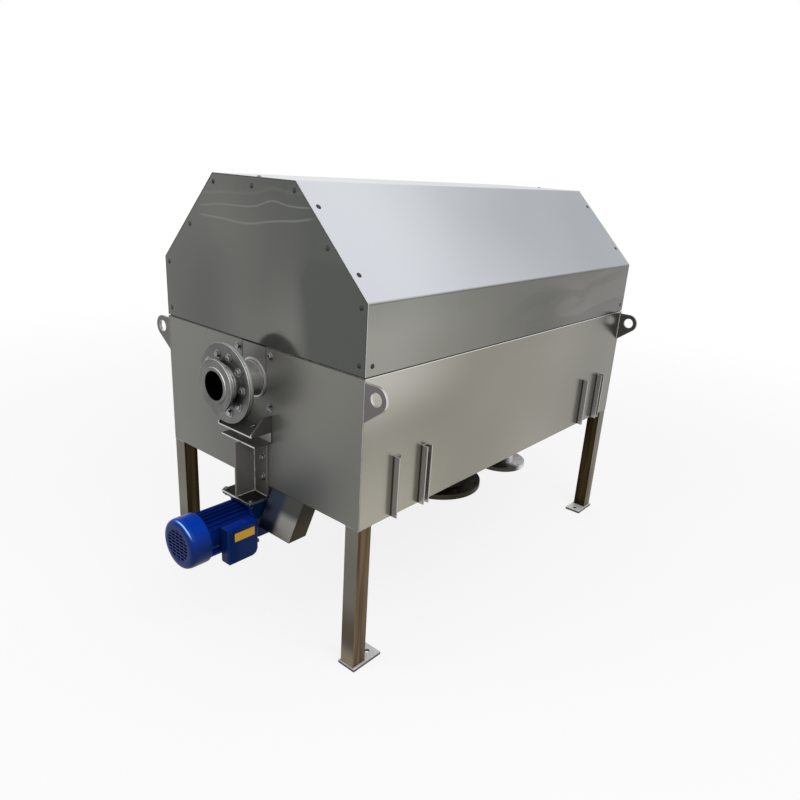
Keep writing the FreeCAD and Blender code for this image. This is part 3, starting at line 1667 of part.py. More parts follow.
for thing in doc.Objects:
    if "Invalid" in thing.State or "Error" in thing.State:
        raise RuntimeError("not built: %s in %s" % (thing.Name, thing.State))
for thing in NODES:
    if thing.Shape.isNull() or not thing.Shape.isValid():
        raise RuntimeError("not a valid shape: %s" % thing.Label)

os.makedirs("parts", exist_ok=True)
for thing in NODES:
    thing.Shape.exportStep("parts/%s.step" % thing.Label)
print(len(NODES), "sub-parts written")
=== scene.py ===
"""Looks of the rotary drum screen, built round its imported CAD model.

Metres, in the frame of the CAD: +X runs from the drive end to the far end, +Z is up,
and the floor is at z = 0. Pieces that stand for a CAD node keep to its place.
"""

import json
import math

import bmesh
import bpy
from mathutils import Matrix, Vector


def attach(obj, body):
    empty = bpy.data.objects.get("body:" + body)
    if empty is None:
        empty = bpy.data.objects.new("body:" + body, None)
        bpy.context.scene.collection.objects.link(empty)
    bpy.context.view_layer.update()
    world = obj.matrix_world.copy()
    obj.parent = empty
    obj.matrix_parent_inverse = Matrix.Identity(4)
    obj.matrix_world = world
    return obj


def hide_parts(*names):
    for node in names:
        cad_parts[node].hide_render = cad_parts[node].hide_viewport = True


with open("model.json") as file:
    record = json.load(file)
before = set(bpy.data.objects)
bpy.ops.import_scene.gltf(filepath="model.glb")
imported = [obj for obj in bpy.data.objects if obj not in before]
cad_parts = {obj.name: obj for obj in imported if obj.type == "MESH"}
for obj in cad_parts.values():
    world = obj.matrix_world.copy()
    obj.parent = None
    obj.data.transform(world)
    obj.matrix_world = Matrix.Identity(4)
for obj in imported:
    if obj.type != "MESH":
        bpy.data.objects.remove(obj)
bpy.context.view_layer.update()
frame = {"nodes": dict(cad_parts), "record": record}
scene = bpy.context.scene
record = frame["record"]
carrier = {node: body for body, nodes in record["behaviour"]["bodies"].items() for node in nodes}
slot_of = {part["node"]: part["material_slot"] for part in record["subparts"]}

# Places and sizes on the machine
DRUM_AXIS = 0.939
MOTOR_AXIS = 0.40781658
MOTOR_BACK, COWL_LENGTH, COWL_RADIUS = -1.226, 0.076, 0.090
TANK_END, TANK_SIDE, TANK_BOTTOM, TANK_TOP = 0.9, 0.523, 0.549, 1.059
HOOD_BASE, HOOD_EAVE, HOOD_TOP, HOOD_TOP_HALF = 1.0633, 1.283, 1.595, 0.2085
HOOD_SHEET = 0.002
BORE_RADIUS = 0.0495
# At the tank's top edge begin painted shade on the end walls and a painted highlight on the side walls.
TOP_EDGE = (TANK_TOP - 0.003, TANK_TOP - 0.002)  # where the tone of the tank's edge begins


# Trees of nodes

class Value:
    """A number that varies from place to place. Arithmetic on it adds Math nodes."""

    def __init__(self, tree, socket):
        self.tree = tree
        self.socket = socket

    def math(self, operation, first, second=0.0):
        return self.tree.node("ShaderNodeMath", {"operation": operation}, {0: first, 1: second})

    def __add__(self, other):
        return self.math("ADD", self, other)

    def __radd__(self, other):
        return self.math("ADD", other, self)

    def __sub__(self, other):
        return self.math("SUBTRACT", self, other)

    def __mul__(self, other):
        return self.math("MULTIPLY", self, other)

    def larger(self, other):
        return self.math("MAXIMUM", self, other)

    def size(self):
        return self.math("ABSOLUTE", self)

    def root(self):
        return self.math("SQRT", self)

    def wave(self):
        return self.math("SINE", self)

    def eased(self, low, high, start=0.0, end=1.0):
        """Goes smoothly from start to end as the value goes from low to high."""
        return self.tree.node("ShaderNodeMapRange", {"interpolation_type": "SMOOTHSTEP"}, {
            "Value": self, "From Min": low, "From Max": high, "To Min": start, "To Max": end,
        })


class Tree:
    """Adds nodes to a node tree: settings first, then values or links for the sockets."""

    def __init__(self, tree):
        self.nodes = tree.nodes
        self.links = tree.links

    def node(self, kind, settings=None, sockets=None, output=0):
        """Adds a node and returns one of its outputs."""
        added = self.nodes.new(kind)
        for name, setting in (settings or {}).items():
            setattr(added, name, setting)
        for name, given in (sockets or {}).items():
            if isinstance(given, Value):
                self.links.new(given.socket, added.inputs[name])
            else:
                added.inputs[name].default_value = given
        return Value(self, added.outputs[output]) if added.outputs else None


class Finish(Tree):
    """A material with one Principled shader. Constants go straight onto its sockets."""

    def __init__(self, name, **constants):
        self.material = bpy.data.materials.new(name)
        self.material.use_nodes = True
        super().__init__(self.material.node_tree)
        self.shader = self.nodes["Principled BSDF"]
        self.place = self.node("ShaderNodeTexCoord", output="Object")
        for socket, value in constants.items():
            self.shader.inputs[socket.replace("_", " ")].default_value = value

    def drive(self, socket, value):
        """Feeds one of the shader's sockets."""
        self.links.new(value.socket, self.shader.inputs[socket])

    def stretched(self, stretch):
        """The place on the object, with each axis multiplied by its stretch."""
        return self.node("ShaderNodeVectorMath", {"operation": "MULTIPLY"}, {0: self.place, 1: stretch})

    def along(self, axis):
        """The place along one axis, in metres."""
        return self.node("ShaderNodeSeparateXYZ", {}, {0: self.place}, output=axis)

    def facing(self, axis):
        """How far the surface faces along one axis, from -1 to 1."""
        outward = self.node("ShaderNodeTexCoord", output="Normal")
        return self.node("ShaderNodeSeparateXYZ", {}, {0: outward}, output=axis)

    def noise(self, scale, detail, rough, stretch=(1, 1, 1), bend=0.0):
        """Cloudy noise from 0 to 1, with scale cells to the metre."""
        return self.node("ShaderNodeTexNoise", {}, {
            "Vector": self.stretched(stretch), "Scale": scale, "Detail": detail, "Roughness": rough,
            "Distortion": bend,
        })

    def mixed(self, share, first, second):
        """A colour between two, by a share from 0 to 1."""
        return self.node("ShaderNodeMix", {"data_type": "RGBA", "clamp_factor": True}, {
            0: share, 6: first, 7: second,
        }, output=2)

    def bump(self, height, depth):
        """Raises the surface by height, which goes from about 0 to 1, times depth in metres."""
        self.drive("Normal", self.node("ShaderNodeBump", {}, {"Height": height, "Distance": depth}))


def shade(red, green, blue):
    return (red, green, blue, 1.0)


def grey(level, warm=0.0):
    """A grey. Warm ones have less blue in them."""
    return shade(level, level * (1 - warm * 0.5), level * (1 - warm))


# Colour of painted highlights on small brackets and cleats.
BRIGHT = grey(0.66, 0.03)
GREY_LOW, GREY_HIGH = grey(0.26, 0.06), grey(0.46, 0.05)


# Finishes

def sheet_steel(name, dark, light, rough, grain, tint=None, lift=None, cloud=1.1, gloss=1.0):
    """Cold rolled stainless sheet: soft clouds of reflection, rolling grain, wiping marks and buckles."""
    steel = Finish(name, Metallic=gloss)
    broad = steel.noise(cloud, 1.5, 0.45)
    wiped = steel.noise(5.0, 3.0, 0.5, (1, 1, 0.45), 0.8)
    rolled = steel.noise(260.0, 2.0, 0.6, grain)
    share = broad.eased(0.3, 0.7) * 0.88 + wiped * 0.10 + rolled * 0.02
    if lift is not None:
        share = share + lift(steel)
    colour = steel.mixed(share, dark, light)
    steel.drive("Base Color", tint(steel, colour) if tint is not None else colour)
    steel.drive("Roughness", rough + wiped * 0.06 + rolled * 0.01)
    steel.bump(broad + rolled * 0.0002 + wiped * 0.010, 0.0012)
    return steel.material


def worked_steel(name, low, dark, light, rough, scale=60.0, tint=None, gloss=1.0):
    """Turned, ground or pickled metal: fine marks, a little grime, and painted shade on its undersides."""
    steel = Finish(name, Metallic=gloss)
    marks = steel.noise(scale, 3.0, 0.6)
    grime = steel.noise(11.0, 4.0, 0.6)
    colour = steel.mixed(marks * 0.4 + grime.eased(0.35, 0.7) * 0.6, dark, light)
    if tint is not None:
        colour = tint(steel, colour)
    # Painted shade: faces that turn down take the low colour.
    steel.drive("Base Color", steel.mixed(steel.facing("Z").eased(-0.9, 0.15), low, colour))
    steel.drive("Roughness", rough + marks * 0.12 + grime * 0.08)
    steel.bump(marks, 0.0001)
    return steel.material


def enamel(name, under, deep, bright, orange_peel, dust, tint=None):
    """Machine enamel with orange peel, clouding and fine dust, painted light that makes it paler as it faces
    up, and painted shade on its underside.
    """
    paint = Finish(name, Specular_IOR_Level=0.07, Coat_Weight=0.05, Coat_Roughness=0.05)
    peel = paint.noise(190.0, 1.5, 0.5)
    cloud = paint.noise(14.0, 3.0, 0.55)
    specks = paint.noise(420.0, 2.0, 0.7).eased(0.66, 0.74)
    # Painted light: the paint turns paler as the surface faces up.
    colour = paint.mixed(cloud * 0.14 + paint.facing("Z").eased(-0.1, 1.0, 0.0, 0.85), deep, bright)
    # Painted shade on faces that turn down.
    colour = paint.mixed(paint.facing("Z").eased(-0.95, -0.1), under, colour)
    if tint is not None:
        colour = tint(paint, colour)
    paint.drive("Base Color", paint.mixed(specks * dust, colour, shade(0.06, 0.09, 0.20)))
    paint.drive("Roughness", 0.18 + cloud * 0.12 + specks * 0.2)
    paint.bump(peel, orange_peel)
    return paint.material


def cowl_shine(paint, colour):
    """Pressed cowl: a painted highlight in pale blue, high on its shoulder, towards -Y."""
    shoulder = paint.facing("X").eased(-0.80, -0.62) * paint.facing("X").eased(-0.50, -0.28, 1.0, 0.0)
    crest = paint.facing("Z").eased(0.42, 0.70) * paint.facing("Y").eased(-0.10, 0.25, 1.0, 0.0)
    return paint.mixed(shoulder * crest, colour, shade(0.30, 0.62, 1.0))


def moulding(name, colour, rough):
    """Plastic, rubber or foil with a fine spark texture."""
    plastic = Finish(name)
    spark = plastic.noise(900.0, 2.0, 0.7)
    plastic.drive("Base Color", plastic.mixed(spark, colour, shade(*[part * 1.3 for part in colour[:3]])))
    plastic.drive("Roughness", rough + spark * 0.15)
    plastic.bump(spark, 0.00015)
    return plastic.material


def ripples(steel):
    """Painted reflections: wavy lines of light high on the hood's end, two clear and one faint, and painted
    shade on its -Y side.
    """
    across, level = steel.along("Y"), steel.along("Z")
    raised = level + across * 0.06 + (across * 9.0).wave() * 0.002 + (across * 23.0 + 1.0).wave() * 0.003
    swell = (across + 0.10).size().eased(0.0, 0.08, 0.011, 0.0)
    sag = across * across * 0.28
    upper = (raised - swell - 1.507).size().eased(0.0, 0.0040, 0.95, 0.0)
    lower = (raised - sag - 1.454).size().eased(0.0, 0.0050, 0.90, 0.0)
    faint = (raised - swell * 0.8 - 1.546).size().eased(0.0, 0.0080, 0.20, 0.0)
    # Painted shade on the -Y side, strongest low down.
    shadow = across.eased(-0.30, -0.19, -0.75, 0.0) * level.eased(1.27, 1.40, 1.0, 0.2)
    return (upper + lower + faint) * across.size().eased(0.25, 0.31, 1.0, 0.0) + shadow


def cut_edge(steel, colour):
    """The sheared edge of a plate that lies across X: bright bare metal, and in part a painted highlight."""
    return steel.mixed(steel.facing("X").size().eased(0.55, 0.8), shade(0.72, 0.73, 0.74), colour)


def end_wall_tone(steel, colour):
    """Grey end sheet: painted shade beside the motor's post, where the drive hangs in front of it, painted
    reflection that pales it towards +Y, and painted shade along its top edge.
    """
    across, level = steel.along("Y"), steel.along("Z")
    spot = (across + 0.20) * (across + 0.20) + (level - 0.63) * (level - 0.63)
    # Painted shade where the drive hangs in front of the sheet.
    colour = steel.mixed(spot.eased(0.002, 0.045, 0.25, 0.0), colour, shade(0.070, 0.078, 0.088))
    # Painted reflection: paler towards +Y.
    colour = steel.mixed(across.eased(0.05, 0.5) * 0.25, colour, shade(0.26, 0.262, 0.245))
    # Painted shade along the top edge.
    return steel.mixed(level.eased(*TOP_EDGE), colour, grey(0.05))


def side_wall_tone(steel, colour):
    """Warm side sheet with painted reflections: paler by the drive end, duller far from it, and a painted
    highlight along its top edge.
    """
    length, level = steel.along("X"), steel.along("Z")
    near = length.eased(-0.9, -0.25, 1.0, 0.0)
    # Painted reflections: paler by the drive end, duller far from it.
    colour = steel.mixed(near * level.eased(0.55, 0.85, 1.0, 0.0) * 0.55, colour, shade(0.46, 0.43, 0.36))
    colour = steel.mixed(near * level.eased(0.85, 1.05) * 0.75, colour, shade(0.56, 0.55, 0.50))
    colour = steel.mixed(length.eased(0.0, 0.8) * 0.8, colour, shade(0.180, 0.176, 0.155))
    # Painted highlight along the top edge.
    return steel.mixed(level.eased(*TOP_EDGE), colour, shade(0.72, 0.72, 0.70))


def hood_tone(steel, colour):
    """Bent hood sheet with painted reflections: cool slopes that dull towards the far end, above a warm band
    with wavy patches, and a line of painted shade under the eave.
    """
    length, level = steel.along("X"), steel.along("Z")
    far = length.eased(-0.9, 0.9)
    slope = steel.mixed(length.eased(-0.88, 0.75), shade(0.72, 0.745, 0.80), shade(0.37, 0.405, 0.44))
    slope = steel.mixed(level.eased(1.29, 1.55) * far * 0.5, slope, shade(0.30, 0.33, 0.36))
    slope = steel.mixed(steel.facing("Z").eased(0.9, 0.99) * 0.6, slope, shade(0.42, 0.43, 0.45))
    band = steel.mixed(length.eased(-0.9, 0.3), shade(0.28, 0.277, 0.24), shade(0.090, 0.088, 0.075))
    band = steel.mixed(level.eased(1.17, 1.28) * 0.35, band, shade(0.15, 0.15, 0.135))
    # Painted reflections: the wavy patches on the band.
    waves = steel.noise(3.0, 2.5, 0.5, (0.55, 1, 3.4), 1.1)
    wavy = length.eased(-0.35, 0.45)
    for share, tone in (
        (waves.eased(0.49, 0.62) * wavy * 0.7, shade(0.150, 0.134, 0.112)),
        (waves.eased(0.36, 0.46, 1.0, 0.0) * wavy * 0.6, shade(0.072, 0.074, 0.064)),
        ((waves - 0.53).size().eased(0.0, 0.014, 0.35, 0.0) * wavy, shade(0.065, 0.065, 0.056)),
    ):
        band = steel.mixed(share, band, tone)
    sheet = steel.mixed(level.eased(HOOD_EAVE - 0.004, HOOD_EAVE + 0.004), band, slope)
    # Painted shade: a thin dark line just under the eave.
    crease = (level - HOOD_EAVE + 0.0045).size().eased(0.0, 0.0028, 0.7, 0.0)
    return steel.mixed(0.22, steel.mixed(crease, sheet, grey(0.045)), colour)


def leg_tone(steel, colour):
    """Tube legs: grey outer end face, tan streaked outer side, painted shade in dark brown within, stained
    above the feet.
    """
    out_x = steel.facing("X") * steel.along("X")
    out_y = steel.facing("Y") * steel.along("Y")
    level = steel.along("Z")
    streak = steel.noise(46.0, 3.0, 0.6, (1, 1, 0.03)).eased(0.35, 0.65)
    tan = steel.mixed(streak, shade(0.046, 0.027, 0.011), shade(0.170, 0.115, 0.062))
    brown = steel.mixed(streak, shade(0.012, 0.008, 0.003), shade(0.042, 0.028, 0.012))
    pale = steel.mixed(level.eased(0.10, 0.34), tan, shade(0.150, 0.140, 0.115))
    tan = steel.mixed(steel.along("X").eased(-0.5, 0.5) * 0.85, tan, pale)
    stain = level.eased(0.03, 0.12) * level.eased(0.14, 0.30, 1.0, 0.0)
    colour = steel.mixed(stain * 0.8, colour, shade(0.060, 0.036, 0.020))
    colour = steel.mixed(level.eased(0.03, 0.09, 0.8, 0.0), colour, shade(0.22, 0.17, 0.11))
    colour = steel.mixed(out_y.eased(0.1, 0.3), colour, tan)
    # Painted shade: faces that turn inwards, under the tank, are near black.
    return steel.mixed((out_x + out_y).eased(-0.25, -0.08, 1.0, 0.0), colour, brown)


def chute_tone(steel, colour):
    """Chute under the tank: painted shade at its root, light at its mouth, painted shadow of the gearbox in
    dark blue at +Y, painted shade in dark bronze on its sides, and paler underneath as painted light.
    """
    level = steel.along("Z")
    # Painted shade at the root, under the tank.
    front = steel.mixed(level.eased(0.475, 0.505), shade(0.185, 0.183, 0.17), shade(0.030, 0.030, 0.028))
    # Painted shadow of the gearbox, in dark blue, at +Y.
    front = steel.mixed(steel.along("Y").eased(-0.190, -0.160), front, shade(0.006, 0.011, 0.028))
    # Painted shade in dark bronze on the sides.
    side = steel.mixed(level.eased(0.44, 0.52), shade(0.034, 0.027, 0.012), shade(0.014, 0.011, 0.006))
    colour = steel.mixed(steel.facing("Y").size().eased(0.5, 0.8), front, side)
    # Painted light: paler on faces that turn down.
    return steel.mixed(steel.facing("Z").eased(-0.9, -0.5, 0.6, 0.0), colour, shade(0.10, 0.095, 0.08))


def foot_tone(steel, colour):
    """Foot plate: pale and wiped on top, with its sawn edges in painted shade."""
    return steel.mixed(steel.facing("Z").eased(0.35, 0.75), shade(0.05, 0.047, 0.042), colour)


def drain_tone(steel, colour):
    """Drain flange under the floor: painted shade on the side of the drive, bright on the other."""
    return steel.mixed(steel.along("X").eased(0.105, 0.150), shade(0.030, 0.028, 0.022), colour)


def cleat_tone(steel, colour):
    """Bars on the long sides: painted shade at the root and in the groove, grey outside, and painted
    highlights on their sawn ends.
    """
    out = steel.along("Y").size()
    # Painted shade near the wall, on faces along X.
    cheek = steel.mixed(out.eased(TANK_SIDE + 0.0030, TANK_SIDE + 0.0060), grey(0.008), grey(0.34, 0.06))
    # Painted shade in the groove, on faces along Y.
    front = steel.mixed(out.eased(TANK_SIDE + 0.0055, TANK_SIDE + 0.0080), grey(0.030), grey(0.50, 0.06))
    bar = steel.mixed(steel.facing("Y").size().eased(0.4, 0.75), cheek, front)
    # Painted highlights on the sawn ends.
    bar = steel.mixed(steel.facing("Z").size().eased(0.4, 0.8), bar, BRIGHT)
    return steel.mixed(0.2, bar, colour)


def dull_bore(steel, colour):
    """Painted shade in the inlet's bore, as far as the drum's hub."""
    across, level = steel.along("Y"), steel.along("Z") - DRUM_AXIS
    reach = (across * across + level * level).root()
    inside = reach.eased(BORE_RADIUS + 0.0005, BORE_RADIUS + 0.0017, 1.0, 0.0)
    before_hub = steel.along("X").eased(-0.87, -0.86, 1.0, 0.0)
    return steel.mixed(inside * before_hub, colour, shade(0.010, 0.011, 0.009))


def turned_tone(steel, colour):
    """Turned piece along X: grey on its flat faces, with painted highlights on its rims, brightest on top,
    and painted shade in its bore.
    """
    rim = steel.facing("X").size().eased(0.75, 0.95, 1.0, 0.0)
    lit_rim = rim * steel.facing("Z").eased(-0.6, 0.7, 0.25, 0.95)
    return dull_bore(steel, steel.mixed(lit_rim, colour, shade(0.70, 0.71, 0.70)))


def by_face(end, side, top, low):
    """Painted light and shade on a small bracket, by the way its faces turn: along X, along Y, up and down.
    """
    def tone(steel, colour):
        faces = steel.mixed(steel.facing("Y").size().eased(0.4, 0.75), end, side)
        faces = steel.mixed(steel.facing("Z").eased(0.4, 0.8), faces, top)
        faces = steel.mixed(steel.facing("Z").eased(-0.8, -0.4, 1.0, 0.0), faces, low)
        return steel.mixed(0.25, faces, colour)
    return tone


finishes = {
    "hood_end": sheet_steel("hood_end_sheet", shade(0.076, 0.080, 0.073), shade(0.165, 0.165, 0.150), 0.12,
        (1, 0.05, 1), cut_edge, ripples, 1.3, 0.72),
    "hood_wrap": sheet_steel("hood_bent_sheet", grey(0.20), grey(0.60), 0.16, (0.05, 1, 1), hood_tone),
    "tank_end": sheet_steel("tank_end_sheet", shade(0.125, 0.126, 0.112), shade(0.19, 0.188, 0.17), 0.36,
        (1, 1, 0.05), end_wall_tone, gloss=0.6),
    "tank_side": sheet_steel("tank_side_sheet", shade(0.25, 0.24, 0.20), shade(0.36, 0.345, 0.30), 0.20,
        (0.05, 1, 1), side_wall_tone),
    "inner_sheet": sheet_steel("inner_sheet", GREY_LOW, GREY_HIGH, 0.28, (0.05, 1, 1)),
    "chute_sheet": sheet_steel("chute_sheet", GREY_LOW, GREY_HIGH, 0.30, (1, 1, 0.05), chute_tone, gloss=0.7),
    "cleat_steel": sheet_steel("cleat_steel", GREY_LOW, GREY_HIGH, 0.28, (1, 1, 0.05), cleat_tone,
        gloss=0.75),
    "lug_steel": sheet_steel("lug_steel", GREY_LOW, GREY_HIGH, 0.25, (1, 1, 0.2),
        by_face(grey(0.070, 0.08), grey(0.70), BRIGHT, grey(0.50))),
    "post_steel": sheet_steel("post_steel", grey(0.16, 0.1), grey(0.30, 0.1), 0.30, (1, 1, 0.1),
        by_face(grey(0.12, 0.1), grey(0.23, 0.08), BRIGHT, grey(0.05)), gloss=0.7),
    "shelf_steel": sheet_steel("shelf_steel", grey(0.07, 0.1), grey(0.16, 0.1), 0.30, (1, 1, 0.1),
        by_face(BRIGHT, grey(0.085, 0.1), grey(0.11), grey(0.03)), gloss=0.7),
    "plate_steel": sheet_steel("plate_steel", grey(0.03), grey(0.10), 0.26, (1, 1, 0.1),
        by_face(BRIGHT, BRIGHT, grey(0.055), grey(0.03))),
    "leg_tube": sheet_steel("pickled_tube", shade(0.125, 0.12, 0.10), shade(0.20, 0.19, 0.16), 0.30,
        (1, 1, 0.05), leg_tone),
    "foot_steel": worked_steel("foot_steel", grey(0.05), grey(0.66), grey(0.86), 0.42, 40.0, tint=foot_tone,
        gloss=0.25),
    "drain_steel": worked_steel("drain_steel", grey(0.03), grey(0.70), grey(0.86), 0.30, tint=drain_tone,
        gloss=0.4),
    "turned_steel": worked_steel("turned_stainless", grey(0.035), grey(0.085, 0.04), grey(0.20, 0.03), 0.24,
        tint=turned_tone),
    "axle_steel": worked_steel("axle_tube", grey(0.10), grey(0.42, 0.03), grey(0.66, 0.02), 0.26,
        tint=dull_bore),
    "bright_steel": worked_steel("bright_stainless", grey(0.12), grey(0.50), grey(0.62), 0.22),
    "screen": worked_steel("screen_wire", grey(0.16), grey(0.34), grey(0.56), 0.25, 120.0),
    "hardware": worked_steel("bright_fasteners", grey(0.06), grey(0.16), grey(0.42), 0.18, 300.0),
    "screw_steel": worked_steel("screw_steel", grey(0.01), grey(0.02), grey(0.09), 0.16, 300.0),
    "weld": worked_steel("weld_beads", grey(0.06), grey(0.22, 0.04), grey(0.50, 0.05), 0.26, 200.0),
    "dark_flange": worked_steel("dark_flange", grey(0.010), shade(0.020, 0.018, 0.011),
        shade(0.060, 0.054, 0.040), 0.40),
    "motor_blue": enamel("motor_enamel", shade(0.0002, 0.0020, 0.012), shade(0.0002, 0.0105, 0.058),
        shade(0.0003, 0.020, 0.24), 0.0001, 0.3),
    "cowl_blue": enamel("cowl_enamel", shade(0.0002, 0.0030, 0.020), shade(0.0002, 0.0125, 0.075),
        shade(0.0003, 0.044, 0.42), 0.0001, 0.2, cowl_shine),
    "gearbox_blue": enamel("casting_enamel", shade(0.0004, 0.004, 0.018), shade(0.0006, 0.012, 0.045),
        shade(0.0010, 0.02, 0.11), 0.0006, 0.6),
    "black_plastic": moulding("black_moulding", grey(0.02), 0.45),
    "label_yellow": moulding("label_foil", shade(0.42, 0.22, 0.003), 0.40),
    "chain_steel": worked_steel("oiled_steel", grey(0.03, 0.1), grey(0.10, 0.1), grey(0.28, 0.1), 0.22, 90.0),
    "bronze": worked_steel("bearing_bronze", shade(0.10, 0.06, 0.02), shade(0.42, 0.26, 0.10),
        shade(0.66, 0.45, 0.20), 0.22, 90.0),
    "rubber": moulding("gasket_rubber", grey(0.015), 0.6),
}
# Slots of the record that no finish above is named after
finishes["tank_sheet"] = finishes["hood_sheet"] = finishes["inner_sheet"]
finishes["stainless_part"] = finishes["turned_steel"]

# The CAD nodes that stay in view as they are need a finish too
for name, node in frame["nodes"].items():
    node.data.materials.clear()
    node.data.materials.append(finishes[slot_of[name]])


# Making and settling pieces

def new_piece(name, mesh):
    piece = bpy.data.objects.new(name, mesh)
    scene.collection.objects.link(piece)
    return piece


def frozen(piece):
    """Turns a piece's modifiers into plain mesh."""
    evaluated = piece.evaluated_get(bpy.context.evaluated_depsgraph_get())
    mesh = bpy.data.meshes.new_from_object(evaluated)
    mesh.name = piece.name
    piece.modifiers.clear()
    piece.data = mesh
    return piece


def settle(piece, finish, home, slot, *nodes):
    """Gives a piece its material and the body of its home node, and hides the CAD nodes it stands for. Its
    slot is not used.
    """
    body = carrier[home]
    piece.data.materials.clear()
    piece.data.materials.append(finishes[finish])
    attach(piece, body)
    if nodes:
        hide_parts(*nodes)


BEVEL_STEPS, BEVEL_ANGLE = 2, math.radians(30.0)
SEAM_GAP, FLAT_ANGLE = 0.00002, math.radians(0.6)


def rounded(piece, width):
    """Rounds a piece's sharp edges, with flat faces kept flat in the shading."""
    bevel = piece.modifiers.new("edges", "BEVEL")
    bevel.width = width
    bevel.segments = BEVEL_STEPS
    bevel.limit_method = "ANGLE"
    bevel.angle_limit = BEVEL_ANGLE
    bevel.harden_normals = True
    weight = piece.modifiers.new("normals", "WEIGHTED_NORMAL")
    weight.keep_sharp = True
    return frozen(piece)


def merged(name):
    """A CAD node's mesh with its seams closed and its flat faces whole."""
    shape = bmesh.new()
    shape.from_mesh(frame["nodes"][name].data)
    bmesh.ops.remove_doubles(shape, verts=shape.verts, dist=SEAM_GAP)
    bmesh.ops.dissolve_limit(shape, angle_limit=FLAT_ANGLE, verts=shape.verts, edges=shape.edges)
    return shape


def eased_copy(name, width):
    """A copy of a CAD node with its edges rounded."""
    shape = merged(name)
    for face in shape.faces:
        face.smooth = True
    mesh = bpy.data.meshes.new("fine_" + name)
    shape.to_mesh(mesh)
    shape.free()
    return rounded(new_piece("fine_" + name, mesh), width)


def softened(corners, radius, steps):
    """An open line of corners with each inner corner turned into a bend."""
    points = [Vector(corners[0])]
    for before, corner, after in zip(corners, corners[1:], corners[2:]):
        corner = Vector(corner)
        entry, leave = (Vector(other) - corner for other in (before, after))
        entry = corner + entry.normalized() * min(radius, entry.length / 2)
        leave = corner + leave.normalized() * min(radius, leave.length / 2)
        for step in range(steps + 1):
            share = step / steps
            points.append(entry.lerp(corner, share).lerp(corner.lerp(leave, share), share))
    return [tuple(point) for point in points] + [tuple(corners[-1])]


def turned(profile, sides, cross=0.0):
    """Points and faces of a (radius, height) profile turned round Z. The cross pulls starred rings in."""
    points, faces, rings = [], [], []
    for radius, height, *star in profile:
        first = len(points)
        count = 1 if radius == 0 else sides
        for index in range(count):
            angle = 2 * math.pi * index / sides
            reach = radius * (1 - (cross * (1 - (index % 4 == 0)) if star else 0))
            points.append((reach * math.cos(angle), reach * math.sin(angle), height))
        rings.append(range(first, first + count))
    for low, high in zip(rings, rings[1:]):
        for index in range(sides):
            after = (index + 1) % sides
            corners = [low[index % len(low)], low[after % len(low)],
                       high[after % len(high)], high[index % len(high)]]
            faces.append(list(dict.fromkeys(corners)))
    return points, faces


def solid_mesh(name, parts, place, sharp):
    """One mesh from several sets of points and faces, smooth but for its sharp edges."""
    points, faces = [], []
    for part_points, part_faces in parts:
        first = len(points)
        points += [place @ Vector(point) for point in part_points]
        faces += [[first + corner for corner in face] for face in part_faces]
    mesh = bpy.data.meshes.new(name)
    mesh.from_pydata(points, [], faces)
    shape = bmesh.new()
    shape.from_mesh(mesh)
    bmesh.ops.recalc_face_normals(shape, faces=shape.faces)
    for face in shape.faces:
        face.smooth = True
    shape.to_mesh(mesh)
    shape.free()
    mesh.set_sharp_from_angle(angle=math.radians(sharp))
    return mesh


def made(name, parts, finish, home, slot, *nodes, place=Matrix(), sharp=35.0):
    """A finished piece from sets of points and faces."""
    settle(new_piece(name, solid_mesh(name, parts, place, sharp)), finish, home, slot, *nodes)


def line_mesh(name, lines):
    """Open lines through points, for a pattern to follow."""
    points, edges = [], []
    for line in lines:
        edges += [(len(points) + step, len(points) + step + 1) for step in range(len(line) - 1)]
        points += line
    mesh = bpy.data.meshes.new(name)
    mesh.from_pydata(points, edges, [])
    return mesh


# CAD nodes whose shape is right, by finish and edge radius
EASED = (
    ("tank_end", 0.0010, "tank_front_wall tank_rear_wall front_notch_cover rear_notch_cover"),
    ("tank_side", 0.0008, "tank_left_wall tank_right_wall"),
    ("hood_end", 0.0005, "hood_front_plate hood_rear_plate"),
    ("inner_sheet", 0.0006, "tank_rim discharge_partition chain_guard tank_floor"),
    ("chute_sheet", 0.0010, "discharge_chute"),
    ("inner_sheet", 0.0008, "discharge_slides hood_frames"),
    ("cleat_steel", 0.0007, "cleats"),
    ("axle_steel", 0.0012, "hollow_axle axle_holder"),
    ("turned_steel", 0.0012, "pipe_flange inlet_spool"),
    ("shelf_steel", 0.0012, "shelf_bracket"),
    ("post_steel", 0.0010, "motor_post"),
    ("plate_steel", 0.0012, "motor_plate"),
    ("lug_steel", 0.0012, "lifting_lugs"),
    ("drain_steel", 0.0012, "drain_outlet"),
    ("bright_steel", 0.0012, "spray_socket spray_strap rear_bearing"),
    ("turned_steel", 0.0008, "drum_spider drum_hub rear_head rear_shaft drum_flight"),
    ("foot_steel", 0.0012, "foot_plates"),
    ("dark_flange", 0.0015, "filtrate_outlet"),
    ("bright_steel", 0.0005, "spray_nozzles"),
    ("motor_blue", 0.0008, "motor_housing"),
    ("motor_blue", 0.0030, "terminal_box terminal_lid"),
    ("gearbox_blue", 0.0040, "gearbox_housing"),
    ("black_plastic", 0.0008, "cable_gland"),
    ("chain_steel", 0.0006, "output_shaft"),
)
for finish, width, names in EASED:
    for name in names.split():
        settle(eased_copy(name, width), finish, name, slot_of[name], name)


# Hood sheet and legs

BEND_STEPS = 4


def walls(count):
    """Faces between two loops of count points, one loop listed after the other."""
    return [[index, (index + 1) % count, count + (index + 1) % count, count + index]
            for index in range(count)]


